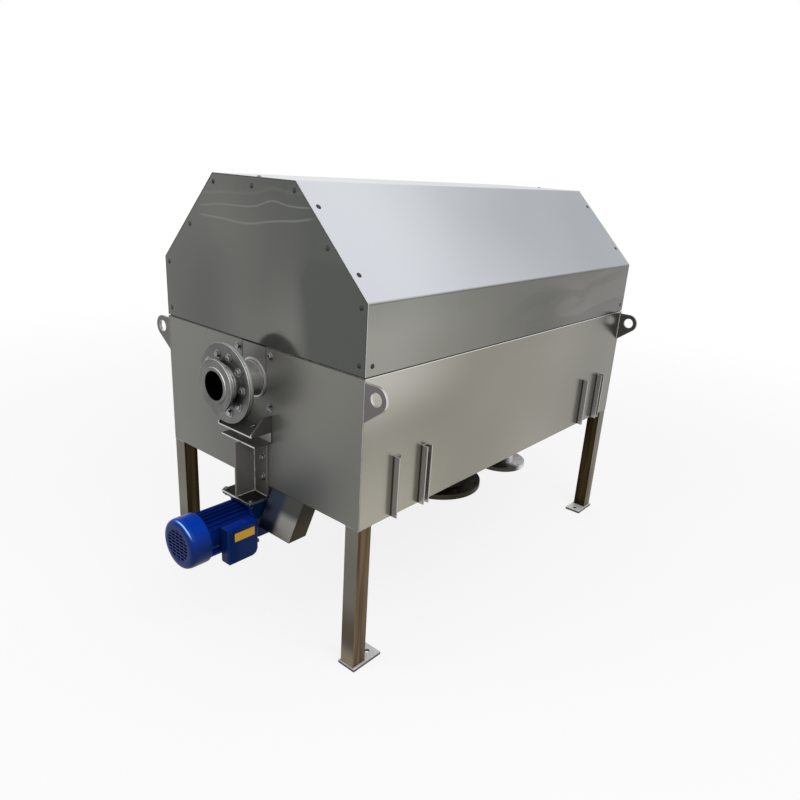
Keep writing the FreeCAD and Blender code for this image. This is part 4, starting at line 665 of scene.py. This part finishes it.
def bent_sheet(corners, bend, sheet, reach):
    """Sheet bent along X: an open line of (y, z) corners, given its thickness inwards."""
    inside = [(y * (1 - sheet / abs(y)), z if z <= HOOD_EAVE else z - sheet) for y, z in corners]
    loop = softened(corners, bend, BEND_STEPS) + softened(inside, bend - sheet, BEND_STEPS)[::-1]
    count = len(loop)
    points = [(x, y, z) for x in (-reach, reach) for y, z in loop]
    faces = walls(count)
    half = count // 2
    for base in (0, count):
        faces += [[base + index, base + index + 1, base + count - 2 - index, base + count - 1 - index]
                  for index in range(half - 1)]
    return points, faces


HOOD_LINE = [(TANK_SIDE, HOOD_BASE), (TANK_SIDE, HOOD_EAVE), (HOOD_TOP_HALF, HOOD_TOP),
             (-HOOD_TOP_HALF, HOOD_TOP), (-TANK_SIDE, HOOD_EAVE), (-TANK_SIDE, HOOD_BASE)]
HOOD_BEND, HOOD_REACH = 0.006, 0.898
made("bent_hood_sheet", [bent_sheet(HOOD_LINE, HOOD_BEND, HOOD_SHEET, HOOD_REACH)], "hood_wrap",
     "hood_wrap", slot_of["hood_wrap"], "hood_wrap", sharp=25.0)
settle(eased_copy("legs", 0.0040), "leg_tube", "legs", slot_of["legs"], "legs")


# Seams

def ribbon(line, width, outward, thickness=0.0003):
    """Flat strip on a face: a line of points, widened to both sides and raised outwards."""
    outward = Vector(outward)
    points, faces = [], []
    line = [Vector(point) for point in line]
    for index, point in enumerate(line):
        before = line[max(index - 1, 0)]
        after = line[min(index + 1, len(line) - 1)]
        side = (after - before).normalized().cross(outward) * width / 2
        for lift in (0.0, thickness):
            points += [point - side + outward * lift, point + side + outward * lift]
    for index in range(len(line) - 1):
        here, there = 4 * index, 4 * index + 4
        for first, second in ((0, 1), (1, 3), (3, 2), (2, 0)):
            faces.append([here + first, here + second, there + second, there + first])
    last = 4 * len(line) - 4
    faces += [[0, 1, 3, 2], [last, last + 1, last + 3, last + 2]]
    return points, faces


CORNER_SHARE = 0.46  # how far the outline's corners shift along, for an inset of 1


def hood_outline(x, inset):
    """The hood's outline on an end plate, moved inwards."""
    shift = inset * CORNER_SHARE
    half = [(TANK_SIDE - inset, HOOD_BASE), (TANK_SIDE - inset, HOOD_EAVE - shift),
            (HOOD_TOP_HALF - shift, HOOD_TOP - inset)]
    return [(x, y, z) for y, z in half] + [(x, -y, z) for y, z in reversed(half)]


SEAM_WIDTH, WIDE_SEAM = 0.0022, 0.0042
hood_seams = [ribbon(hood_outline(end * TANK_END, SEAM_WIDTH), SEAM_WIDTH, (end, 0, 0)) for end in (-1, 1)]
made("hood_plate_seams", hood_seams, "rubber", "hood_front_plate", "rubber")

NOTCH_SIDE, NOTCH_LEVELS = 0.0645, (0.975, 1.058)
notch_seams = [
    ribbon([(-TANK_END, side * NOTCH_SIDE, level) for level in NOTCH_LEVELS], width, (-1, 0, 0))
    for side, width in ((-1, SEAM_WIDTH), (1, WIDE_SEAM))
]
made("notch_seams", notch_seams, "rubber", "tank_front_wall", "rubber")

CORNER_X, CORNER_Y, CORNER_LEVELS = TANK_END + 0.0002, TANK_SIDE + 0.0002, (0.550, 1.058)
DIAGONAL, CORNER_WIDTH, CORNER_THICK = 0.7071, 0.0026, 0.0004
corner_seams = [
    ribbon([(CORNER_X * end, CORNER_Y * side, level) for level in CORNER_LEVELS], CORNER_WIDTH,
           (DIAGONAL * end, DIAGONAL * side, 0), CORNER_THICK)
    for end in (-1, 1) for side in (-1, 1)
]
made("corner_welds", corner_seams, "weld", "tank_front_wall", "stainless_part")


# Patterns: what repeats is placed by Geometry Nodes and then made into plain mesh

class Pattern(Tree):
    """A Geometry Nodes tree with named inputs. It ends in real geometry of one material."""

    def __init__(self, name, **inputs):
        self.group = bpy.data.node_groups.new(name, "GeometryNodeTree")
        super().__init__(self.group)
        self.group.interface.new_socket("Geometry", in_out="OUTPUT", socket_type="NodeSocketGeometry")
        for label, kind in {**inputs, "Finish": "Material"}.items():
            self.group.interface.new_socket(label, in_out="INPUT", socket_type="NodeSocket" + kind)
        self.given = self.nodes.new("NodeGroupInput")

    def input(self, label):
        return Value(self, self.given.outputs[label])

    def kept(self, name, kind="FLOAT"):
        """An attribute that the places carry."""
        return self.node("GeometryNodeInputNamedAttribute", {"data_type": kind}, {"Name": name})

    def end(self, instances):
        solid = self.node("GeometryNodeRealizeInstances", {}, {0: instances})
        solid = self.node("GeometryNodeSetMaterial", {}, {
            "Geometry": solid, "Material": self.input("Finish"),
        })
        self.node("NodeGroupOutput", {}, {0: solid})

    def grow(self, name, mesh, finish, **values):
        """Runs the tree on a mesh of places or lines and keeps the result as a plain piece."""
        piece = new_piece(name, mesh)
        modifier = piece.modifiers.new("pattern", "NODES")
        modifier.node_group = self.group
        values["Finish"] = finishes[finish]
        for item in self.group.interface.items_tree:
            if item.in_out == "INPUT" and item.name in values:
                modifier[item.identifier] = values[item.name]
        return frozen(piece)


# A part on each point, turned to the point's aim and spun at random
fastened = Pattern("fastened", Places="Geometry", Part="Object")
spin = fastened.node("FunctionNodeRandomValue", {"data_type": "FLOAT_VECTOR"},
                     {0: (0, 0, 0), 1: (0, 0, 6.28), "Seed": 4})
turn = fastened.node("FunctionNodeAlignRotationToVector", {"axis": "Z"},
                     {"Vector": fastened.kept("aim", "FLOAT_VECTOR")})
turn = fastened.node("FunctionNodeRotateRotation", {"rotation_space": "LOCAL"}, {0: turn, 1: spin})
part = fastened.node("GeometryNodeObjectInfo", {}, {"Object": fastened.input("Part")}, output="Geometry")
fastened.end(fastened.node("GeometryNodeInstanceOnPoints", {}, {
    "Points": fastened.input("Places"), "Instance": part, "Rotation": turn, "Scale": fastened.kept("size"),
}))

# Beads of weld along lines
beaded = Pattern("beaded", Lines="Geometry", Pitch="Float", Width="Float")
path = beaded.node("GeometryNodeMeshToCurve", {}, {0: beaded.input("Lines")})
path = beaded.node("GeometryNodeResampleCurve", {"mode": "LENGTH"}, {
    0: path, "Length": beaded.input("Pitch"),
})
drop = beaded.node("GeometryNodeMeshUVSphere", {}, {"Segments": 8, "Rings": 4, "Radius": 0.5})
swing = beaded.node("FunctionNodeRandomValue", {"data_type": "FLOAT"}, {
    2: 0.82, 3: 1.12, "Seed": 7,
}, output=1)
beaded.end(beaded.node("GeometryNodeInstanceOnPoints", {}, {
    "Points": path, "Instance": drop, "Scale": swing * beaded.input("Width"),
}))

# A part again and again at equal steps
rows = Pattern("rows", Start="Geometry", Part="Object", Count="Int", Step="Vector")
line = rows.node("GeometryNodeMeshLine", {"mode": "OFFSET"},
                 {"Count": rows.input("Count"), "Offset": rows.input("Step")})
part = rows.node("GeometryNodeObjectInfo", {}, {"Object": rows.input("Part")}, output="Geometry")
rows.end(rows.node("GeometryNodeInstanceOnPoints", {}, {"Points": line, "Instance": part}))

# Slats across a round opening, each cut to the opening's width at its height
slatted = Pattern("slatted", Start="Geometry", Count="Int", Step="Float", Reach="Float", Width="Float",
                  Depth="Float", Turn="Vector", Centre="Vector")
count, step = slatted.input("Count"), slatted.input("Step")
first = (count - 1.0) * step * -0.5
offset = slatted.node("ShaderNodeCombineXYZ", {}, {"Z": step})
base = slatted.node("ShaderNodeCombineXYZ", {}, {"Z": first})
line = slatted.node("GeometryNodeMeshLine", {"mode": "OFFSET"},
                    {"Count": count, "Start Location": base, "Offset": offset})
height = slatted.node("ShaderNodeSeparateXYZ", {}, {0: slatted.node("GeometryNodeInputPosition")}, output="Z")
reach = slatted.input("Reach")
span = (reach * reach - height * height).larger(0.0).root() * 2.0
bar = slatted.node("GeometryNodeMeshCube", {}, {"Size": (1, 1, 1)})
size = slatted.node("ShaderNodeCombineXYZ", {}, {
    "X": slatted.input("Depth"), "Y": span, "Z": slatted.input("Width"),
})
bars = slatted.node("GeometryNodeInstanceOnPoints", {}, {"Points": line, "Instance": bar, "Scale": size})
bars = slatted.node("GeometryNodeRealizeInstances", {}, {0: bars})
slatted.end(slatted.node("GeometryNodeTransform", {}, {
    "Geometry": bars, "Translation": slatted.input("Centre"), "Rotation": slatted.input("Turn"),
}))


# Fasteners

def loose_shapes(shape):
    """The separate closed shapes in a merged mesh, each as its corners."""
    left = set(shape.verts)
    while left:
        group = [left.pop()]
        for corner in group:
            for edge in corner.link_edges:
                other = edge.other_vert(corner)
                if other in left:
                    left.discard(other)
                    group.append(other)
        yield group


HEXAGON_AREA = 2.598  # of a hexagon whose corners lie 1 from its centre


def seats(names, inside=(0, 0, 0)):
    """Seat, outward aim and radius of each hexagonal head in the CAD nodes."""
    found = []
    for name in names.split():
        shape = merged(name)
        for group in loose_shapes(shape):
            cap = max({face for corner in group for face in corner.link_faces}, key=lambda f: f.calc_area())
            centre = sum((corner.co for corner in group), Vector()) / len(group)
            aim = cap.normal.copy()
            if aim.dot(centre - Vector(inside)) < 0:
                aim.negate()
            height = 2 * abs((cap.calc_center_median() - centre).dot(aim))
            radius = math.sqrt(cap.calc_area() / HEXAGON_AREA)
            found.append((centre - aim * height / 2, aim, radius))
        shape.free()
    return found


def fasten(name, part, spots, finish, home, slot, *nodes):
    """Puts a copy of a part on each seat."""
    mesh = bpy.data.meshes.new(name)
    mesh.from_pydata([seat for seat, aim, size in spots], [], [])
    mesh.attributes.new("aim", "FLOAT_VECTOR", "POINT").data.foreach_set(
        "vector", [value for seat, aim, size in spots for value in aim])
    mesh.attributes.new("size", "FLOAT", "POINT").data.foreach_set("value", [size for *_, size in spots])
    settle(fastened.grow(name, mesh, finish, Part=part), finish, home, slot, *nodes)


# Fastener profiles, with a head's radius as 1. A third value marks a ring of the screw's recess.
WASHER = [(0, 0), (1.30, 0), (1.38, 0.03), (1.38, 0.15), (1.32, 0.19), (0, 0.19)]
HEX_HEAD = [(0, 0.15), (0.97, 0.15), (1.0, 0.19), (1.0, 0.70), (0.90, 0.80), (0.60, 0.83), (0.55, 0.80),
            (0, 0.80)]
HEX_NUT = [(0, 0.15), (0.90, 0.15), (1.0, 0.23), (1.0, 0.88), (0.90, 0.98), (0, 0.98)]
STUD_END = [(0, 0.9), (0.54, 0.9), (0.54, 1.30), (0.46, 1.40), (0, 1.40)]
PAN_HEAD = [(0, 0), (0.98, 0), (1.0, 0.06), (0.96, 0.20), (0.82, 0.35), (0.62, 0.45), (0.46, 0.48),
            (0.44, 0.47, 1), (0.30, 0.10, 1), (0, 0.08)]
# The ring under a hood screw's head: a black rubber seal, and also painted shadow round the head.
SCREW_RIM = [(0.90, 0.0), (1.45, 0.0), (1.42, 0.06), (0.90, 0.10), (0.90, 0.0)]
RECESS = 0.62


def sample(name, *shapes, sharp=35.0):
    """A part for patterns to copy. It is removed once they have."""
    return new_piece(name, solid_mesh(name, shapes, Matrix(), sharp))


hex_bolt = sample("hex_bolt", turned(WASHER, 24), turned(HEX_HEAD, 6), sharp=25.0)
hex_nut = sample("hex_nut", turned(WASHER, 24), turned(HEX_NUT, 6), turned(STUD_END, 12), sharp=25.0)
pan_screw = sample("pan_screw", turned(PAN_HEAD, 16, RECESS), sharp=30.0)
screw_rim = sample("screw_rim", turned(SCREW_RIM, 20))

FLANGE_JOINT = (-1.015, 0, 0)
flange_seats = seats("flange_bolts", FLANGE_JOINT)
heads = [spot for spot in flange_seats if spot[1].x < 0]
nuts = [spot for spot in flange_seats if spot[1].x > 0]
fasten("flange_bolt_heads", hex_bolt, heads, "hardware", "flange_bolts", "hardware", "flange_bolts")
fasten("flange_nuts", hex_nut, nuts, "hardware", "flange_bolts", "hardware")
fasten("frame_bolt_heads", hex_bolt, seats("frame_bolts"), "hardware", "frame_bolts", "hardware",
       "frame_bolts")
small_seats, hood_seats = seats("small_bolts"), seats("hood_screws")
fasten("small_bolt_heads", hex_bolt, small_seats, "hardware", "small_bolts", "hardware", "small_bolts")
PLATE_TOP, NUT_LEVEL, NUT_RADIUS = 0.51, 0.4938, 0.0070
nut_seats = [(Vector((seat.x, seat.y, NUT_LEVEL)), Vector((0, 0, -1)), NUT_RADIUS)
             for seat, aim, size in small_seats if abs(seat.z - PLATE_TOP) < 0.01]
fasten("motor_plate_nuts", hex_nut, nut_seats, "chain_steel", "small_bolts", "hardware")
fasten("hood_screw_heads", pan_screw, hood_seats, "screw_steel", "hood_screws", "hardware", "hood_screws")
# Black rubber seals under the hood screws, which also stand as painted shadow round their heads.
fasten("hood_screw_rims", screw_rim, hood_seats, "rubber", "hood_screws", "rubber")

BOX_FACE, BOX_LEFT, BOX_RIGHT, BOX_TOP, BOX_LOW = -0.128, -1.112, -0.992, 0.4668, 0.3348
EDGE, CUT_CORNER, LID_SCREW = 0.009, 0.028, 0.0042
lid_screws = [(Vector((x, BOX_FACE, z)), Vector((0, -1, 0)), LID_SCREW)
              for x, z in ((BOX_LEFT + EDGE, BOX_TOP - EDGE), (BOX_RIGHT - EDGE, BOX_TOP - EDGE),
                           (BOX_LEFT + EDGE, BOX_LOW + EDGE), (BOX_RIGHT - CUT_CORNER, BOX_LOW + EDGE))]
fasten("lid_screws", pan_screw, lid_screws, "motor_blue", "terminal_lid", "motor_blue")


# Welds

def weld(name, lines, pitch, width, home):
    """Beads of weld along lines."""
    beads = beaded.grow(name, line_mesh(name, lines), "weld", Pitch=pitch, Width=width)
    settle(beads, "weld", home, "stainless_part")


RING_STEPS = 64


def ring(x, radius):
    """A closed line round the drum's axis."""
    angles = [2 * math.pi * step / RING_STEPS for step in range(RING_STEPS + 1)]
    return [(x, radius * math.cos(angle), DRUM_AXIS + radius * math.sin(angle)) for angle in angles]


LEG_SIDE, LUG_THICK, FOOT_THICK = 0.060, 0.010, 0.010
LUG_LOW, LUG_HIGH = 0.925, 1.046
OFFSET = 0.0005  # from a bead's middle to the faces beside it
leg_top, foot_top = TANK_BOTTOM - OFFSET, FOOT_THICK + OFFSET
lug_lines, leg_lines, foot_lines = [], [], []
for end in (-1, 1):
    for side in (-1, 1):
        lug_x, lug_y = (TANK_END - LUG_THICK - OFFSET) * end, (TANK_SIDE + OFFSET) * side
        lug_lines.append([(lug_x, lug_y, LUG_LOW), (lug_x, lug_y, LUG_HIGH)])
        x, y = (TANK_END - OFFSET) * end, (TANK_SIDE - OFFSET) * side
        inner_x, inner_y = x - end * LEG_SIDE, y - side * LEG_SIDE
        leg_lines.append([(inner_x, y, leg_top), (x, y, leg_top), (x, inner_y, leg_top)])
        foot_lines.append([(x, y, foot_top), (x, inner_y, foot_top), (inner_x, inner_y, foot_top),
                           (inner_x, y, foot_top), (x, y, foot_top)])
weld("lug_welds", lug_lines, 0.0028, 0.0052, "tank_front_wall")
weld("leg_welds", leg_lines, 0.0022, 0.0030, "tank_front_wall")
weld("foot_welds", foot_lines, 0.0030, 0.0056, "tank_front_wall")
weld("axle_welds", [ring(-0.9065, 0.0625), ring(-0.9965, 0.0620)], 0.0028, 0.0044, "hollow_axle")
POST_WALL, POST_FRONT, POST_HALF, POST_LOW, POST_TOP = -0.9085, -0.9860, 0.0720, 0.5105, 0.717
post_lines = [[(POST_WALL, y, 0.512), (POST_WALL, y, POST_TOP)] for y in (-0.0055, 0.0055)]
post_lines += [[(POST_FRONT, y, POST_LOW), (-0.9090, y, POST_LOW)] for y in (-0.0050, 0.0050)]
post_lines.append([(POST_WALL, -POST_HALF, POST_LOW), (POST_WALL, POST_HALF, POST_LOW)])
weld("post_welds", post_lines, 0.0028, 0.0048, "motor_post")


# Fan cowl with its grille, and the bare label

GRILLE_RADIUS, COWL_SHEET, SHOULDER, COWL_BEND = 0.057, 0.0016, 0.017, 0.0070
ALONG_X = Matrix.Rotation(math.radians(90), 4, "Y")


def on_motor_axis(inward):
    """Where a piece turned round Z lies, this far in from the cowl's outer end."""
    return Matrix.Translation((MOTOR_BACK + inward, 0, MOTOR_AXIS)) @ ALONG_X


cowl_line = softened([(GRILLE_RADIUS, COWL_SHEET), (GRILLE_RADIUS, 0.0), (COWL_RADIUS - SHOULDER, 0.0),
                      (COWL_RADIUS - 0.004, 0.004), (COWL_RADIUS, SHOULDER), (COWL_RADIUS, COWL_LENGTH),
                      (COWL_RADIUS - COWL_SHEET, COWL_LENGTH)], COWL_BEND, 5)
cowl_line += [(COWL_RADIUS - COWL_SHEET, SHOULDER + 0.001), (COWL_RADIUS - SHOULDER - 0.001, COWL_SHEET),
              (GRILLE_RADIUS, COWL_SHEET)]
made("pressed_cowl", [turned(cowl_line, 96)], "cowl_blue", "fan_cowl", "motor_blue", "fan_cowl",
     place=on_motor_axis(0.0), sharp=40.0)
for name, bar_count, pitch, width, inward, angle in (
    ("grille_slats", 9, 0.0125, 0.0046, 0.0010, 0.0),
    ("grille_ribs", 4, 0.0235, 0.0040, 0.0012, math.pi / 2),
):
    grille = slatted.grow(name, bpy.data.meshes.new(name + "_start"), "motor_blue", Count=bar_count,
                          Step=pitch, Reach=GRILLE_RADIUS + 0.0006, Width=width, Depth=COWL_SHEET,
                          Turn=(angle, 0, 0), Centre=(MOTOR_BACK + inward, 0, MOTOR_AXIS))
    settle(grille, "motor_blue", "fan_cowl", "motor_blue")
RIM_RADIUS = GRILLE_RADIUS - 0.0005
rim_line = [(RIM_RADIUS, -0.0006), (GRILLE_RADIUS + 0.0012, -0.0008), (GRILLE_RADIUS + 0.0022, 0.0002),
            (RIM_RADIUS, 0.0012), (RIM_RADIUS, -0.0006)]
made("grille_rim", [turned(rim_line, 96)], "motor_blue", "fan_cowl", "motor_blue",
     place=on_motor_axis(0.0008))

LABEL_LEFT, LABEL_RIGHT, LABEL_LOW, LABEL_HIGH = -1.088, -1.006, 0.4175, 0.4490
LABEL_THICK, LABEL_CORNER = 0.0005, 0.0025
label_middle = (0.5 * (LABEL_LEFT + LABEL_RIGHT), LABEL_LOW)
label_line = softened([label_middle, (LABEL_RIGHT, LABEL_LOW), (LABEL_RIGHT, LABEL_HIGH),
                       (LABEL_LEFT, LABEL_HIGH), (LABEL_LEFT, LABEL_LOW), label_middle],
                      LABEL_CORNER, BEND_STEPS)[:-1]
rim_count = len(label_line)
label_points = [(x, BOX_FACE - lift, z) for lift in (0.0, LABEL_THICK) for x, z in label_line]
label_faces = [list(range(rim_count)), list(range(rim_count, 2 * rim_count))] + walls(rim_count)
made("bare_label", [(label_points, label_faces)], "label_yellow", "terminal_lid", None)


# Drum screen: rings of wedge wire on rods

WIRE_PITCH, WIRE_HALF, WIRE_DEPTH = 0.0085, 0.0024, 0.0045
SCREEN_START, SCREEN_END, SCREEN_RADIUS = -0.796, 0.804, 0.3448
screen_length = SCREEN_END - SCREEN_START
wire_line = [(SCREEN_RADIUS, -WIRE_HALF), (SCREEN_RADIUS, WIRE_HALF), (SCREEN_RADIUS - WIRE_DEPTH, 0.0),
             (SCREEN_RADIUS, -WIRE_HALF)]
wire_place = Matrix.Translation((SCREEN_START, 0, DRUM_AXIS)) @ ALONG_X
wire = new_piece("wedge_wire", solid_mesh("wedge_wire", [turned(wire_line, 120)], wire_place, 60.0))
winding = rows.grow("wound_screen", bpy.data.meshes.new("winding_start"), "screen", Part=wire,
                    Count=int(screen_length / WIRE_PITCH) + 1, Step=(WIRE_PITCH, 0, 0))
settle(winding, "screen", "drum_screen", "screen", "drum_screen")
ROD_COUNT, ROD_RING, ROD_RADIUS = 36, 0.3400, 0.0022
rod_line = [(0, 0), (ROD_RADIUS, 0), (ROD_RADIUS, screen_length), (0, screen_length)]
rod_points, rod_faces = turned(rod_line, 6)
rods = []
for index in range(ROD_COUNT):
    angle = 2 * math.pi * index / ROD_COUNT
    shift = Vector((SCREEN_START, ROD_RING * math.cos(angle), DRUM_AXIS + ROD_RING * math.sin(angle)))
    rods.append(([ALONG_X @ Vector(point) + shift for point in rod_points], rod_faces))
made("screen_rods", rods, "screen", "drum_screen", "screen")
for used in (hex_bolt, hex_nut, pan_screw, screw_rim, wire):
    bpy.data.objects.remove(used)


# Floor, light and camera

def seen_directly(tree):
    """1 for rays from the camera, for mirror rays and for rays through glass, and 0 for the rest."""
    paths = [tree.node("ShaderNodeLightPath", output="Is %s Ray" % kind)
             for kind in ("Camera", "Glossy", "Transmission")]
    return paths[0].larger(paths[1]).larger(paths[2])


WORLD_LIGHT = 0.62
world = bpy.data.worlds.new("studio")
scene.world = world
world.use_nodes = True
sky = Tree(world.node_tree)
sky.nodes.clear()
lit = sky.node("ShaderNodeBackground", {}, {"Color": grey(1.0), "Strength": WORLD_LIGHT})
shown = sky.node("ShaderNodeBackground", {}, {"Color": grey(1.0), "Strength": 1.0})
mix = sky.node("ShaderNodeMixShader", {}, {0: seen_directly(sky), 1: lit, 2: shown})
sky.node("ShaderNodeOutputWorld", {}, {"Surface": mix})

FLOOR_GLOW, FAR_GLOW = 0.80, 1.0
GLOW_START, GLOW_END, HALF = 1.6, 6.0, 30
floor_mesh = bpy.data.meshes.new("floor")
floor_mesh.from_pydata([(-HALF, -HALF, 0), (HALF, -HALF, 0), (HALF, HALF, 0), (-HALF, HALF, 0)], [],
                       [(0, 1, 2, 3)])
floor = new_piece("floor", floor_mesh)
floor_material = bpy.data.materials.new("studio_floor")
floor_material.use_nodes = True
ground = Tree(floor_material.node_tree)
ground.nodes.clear()
spot = ground.node("ShaderNodeTexCoord", output="Object")
away = ground.node("ShaderNodeVectorMath", {"operation": "LENGTH"}, {0: spot}, output="Value")
glow_share = away.eased(GLOW_START, GLOW_END, FLOOR_GLOW, FAR_GLOW)
matt = ground.node("ShaderNodeBsdfDiffuse", {}, {"Color": grey(0.88)})
glow = ground.node("ShaderNodeEmission", {}, {"Color": grey(1.0), "Strength": 1.0})
mix = ground.node("ShaderNodeMixShader", {}, {0: seen_directly(ground) * glow_share, 1: matt, 2: glow})
ground.node("ShaderNodeOutputMaterial", {}, {"Surface": mix})
floor_mesh.materials.append(floor_material)


MIDDLE = Vector((0, 0, 0.8))


def softbox(name, place, size, power):
    """Square area lamp at a place, turned to the middle of the machine."""
    lamp = bpy.data.objects.new(name, bpy.data.lights.new(name, "AREA"))
    lamp.data.size = size
    lamp.data.energy = power
    lamp.location = place
    lamp.rotation_euler = (MIDDLE - Vector(place)).to_track_quat("-Z", "Y").to_euler()
    scene.collection.objects.link(lamp)


softbox("softbox_camera_side", (-1.6, -4.2, 4.4), 5.0, 135.0)
softbox("softbox_drive_side", (-4.6, 1.4, 3.2), 4.2, 58.0)

# The camera, solved from the box's edges in the photo
AZIMUTH, ELEVATION, ROLL = (math.radians(angle) for angle in (38.80, 19.87, -3.96))
CAMERA_PLACE = (-2.2985, -1.8366, 1.6582)
LENS, SENSOR, SHIFT_X, SHIFT_Y = 30.663, 36.0, -0.01625, 0.015625
forward = Vector((math.cos(ELEVATION) * math.cos(AZIMUTH), math.cos(ELEVATION) * math.sin(AZIMUTH),
                  -math.sin(ELEVATION)))
right = forward.cross(Vector((0, 0, 1))).normalized()
down = forward.cross(right)
across = right * math.cos(ROLL) + down * math.sin(ROLL)
upward = right * math.sin(ROLL) - down * math.cos(ROLL)
camera = bpy.data.objects.new("camera", bpy.data.cameras.new("camera"))
scene.collection.objects.link(camera)
camera.matrix_world = Matrix.Translation(CAMERA_PLACE) @ Matrix(
    (across, upward, -forward)).transposed().to_4x4()
camera.data.lens, camera.data.sensor_width = LENS, SENSOR
camera.data.shift_x, camera.data.shift_y = SHIFT_X, SHIFT_Y
scene.camera = camera
scene.view_settings.view_transform = "Standard"
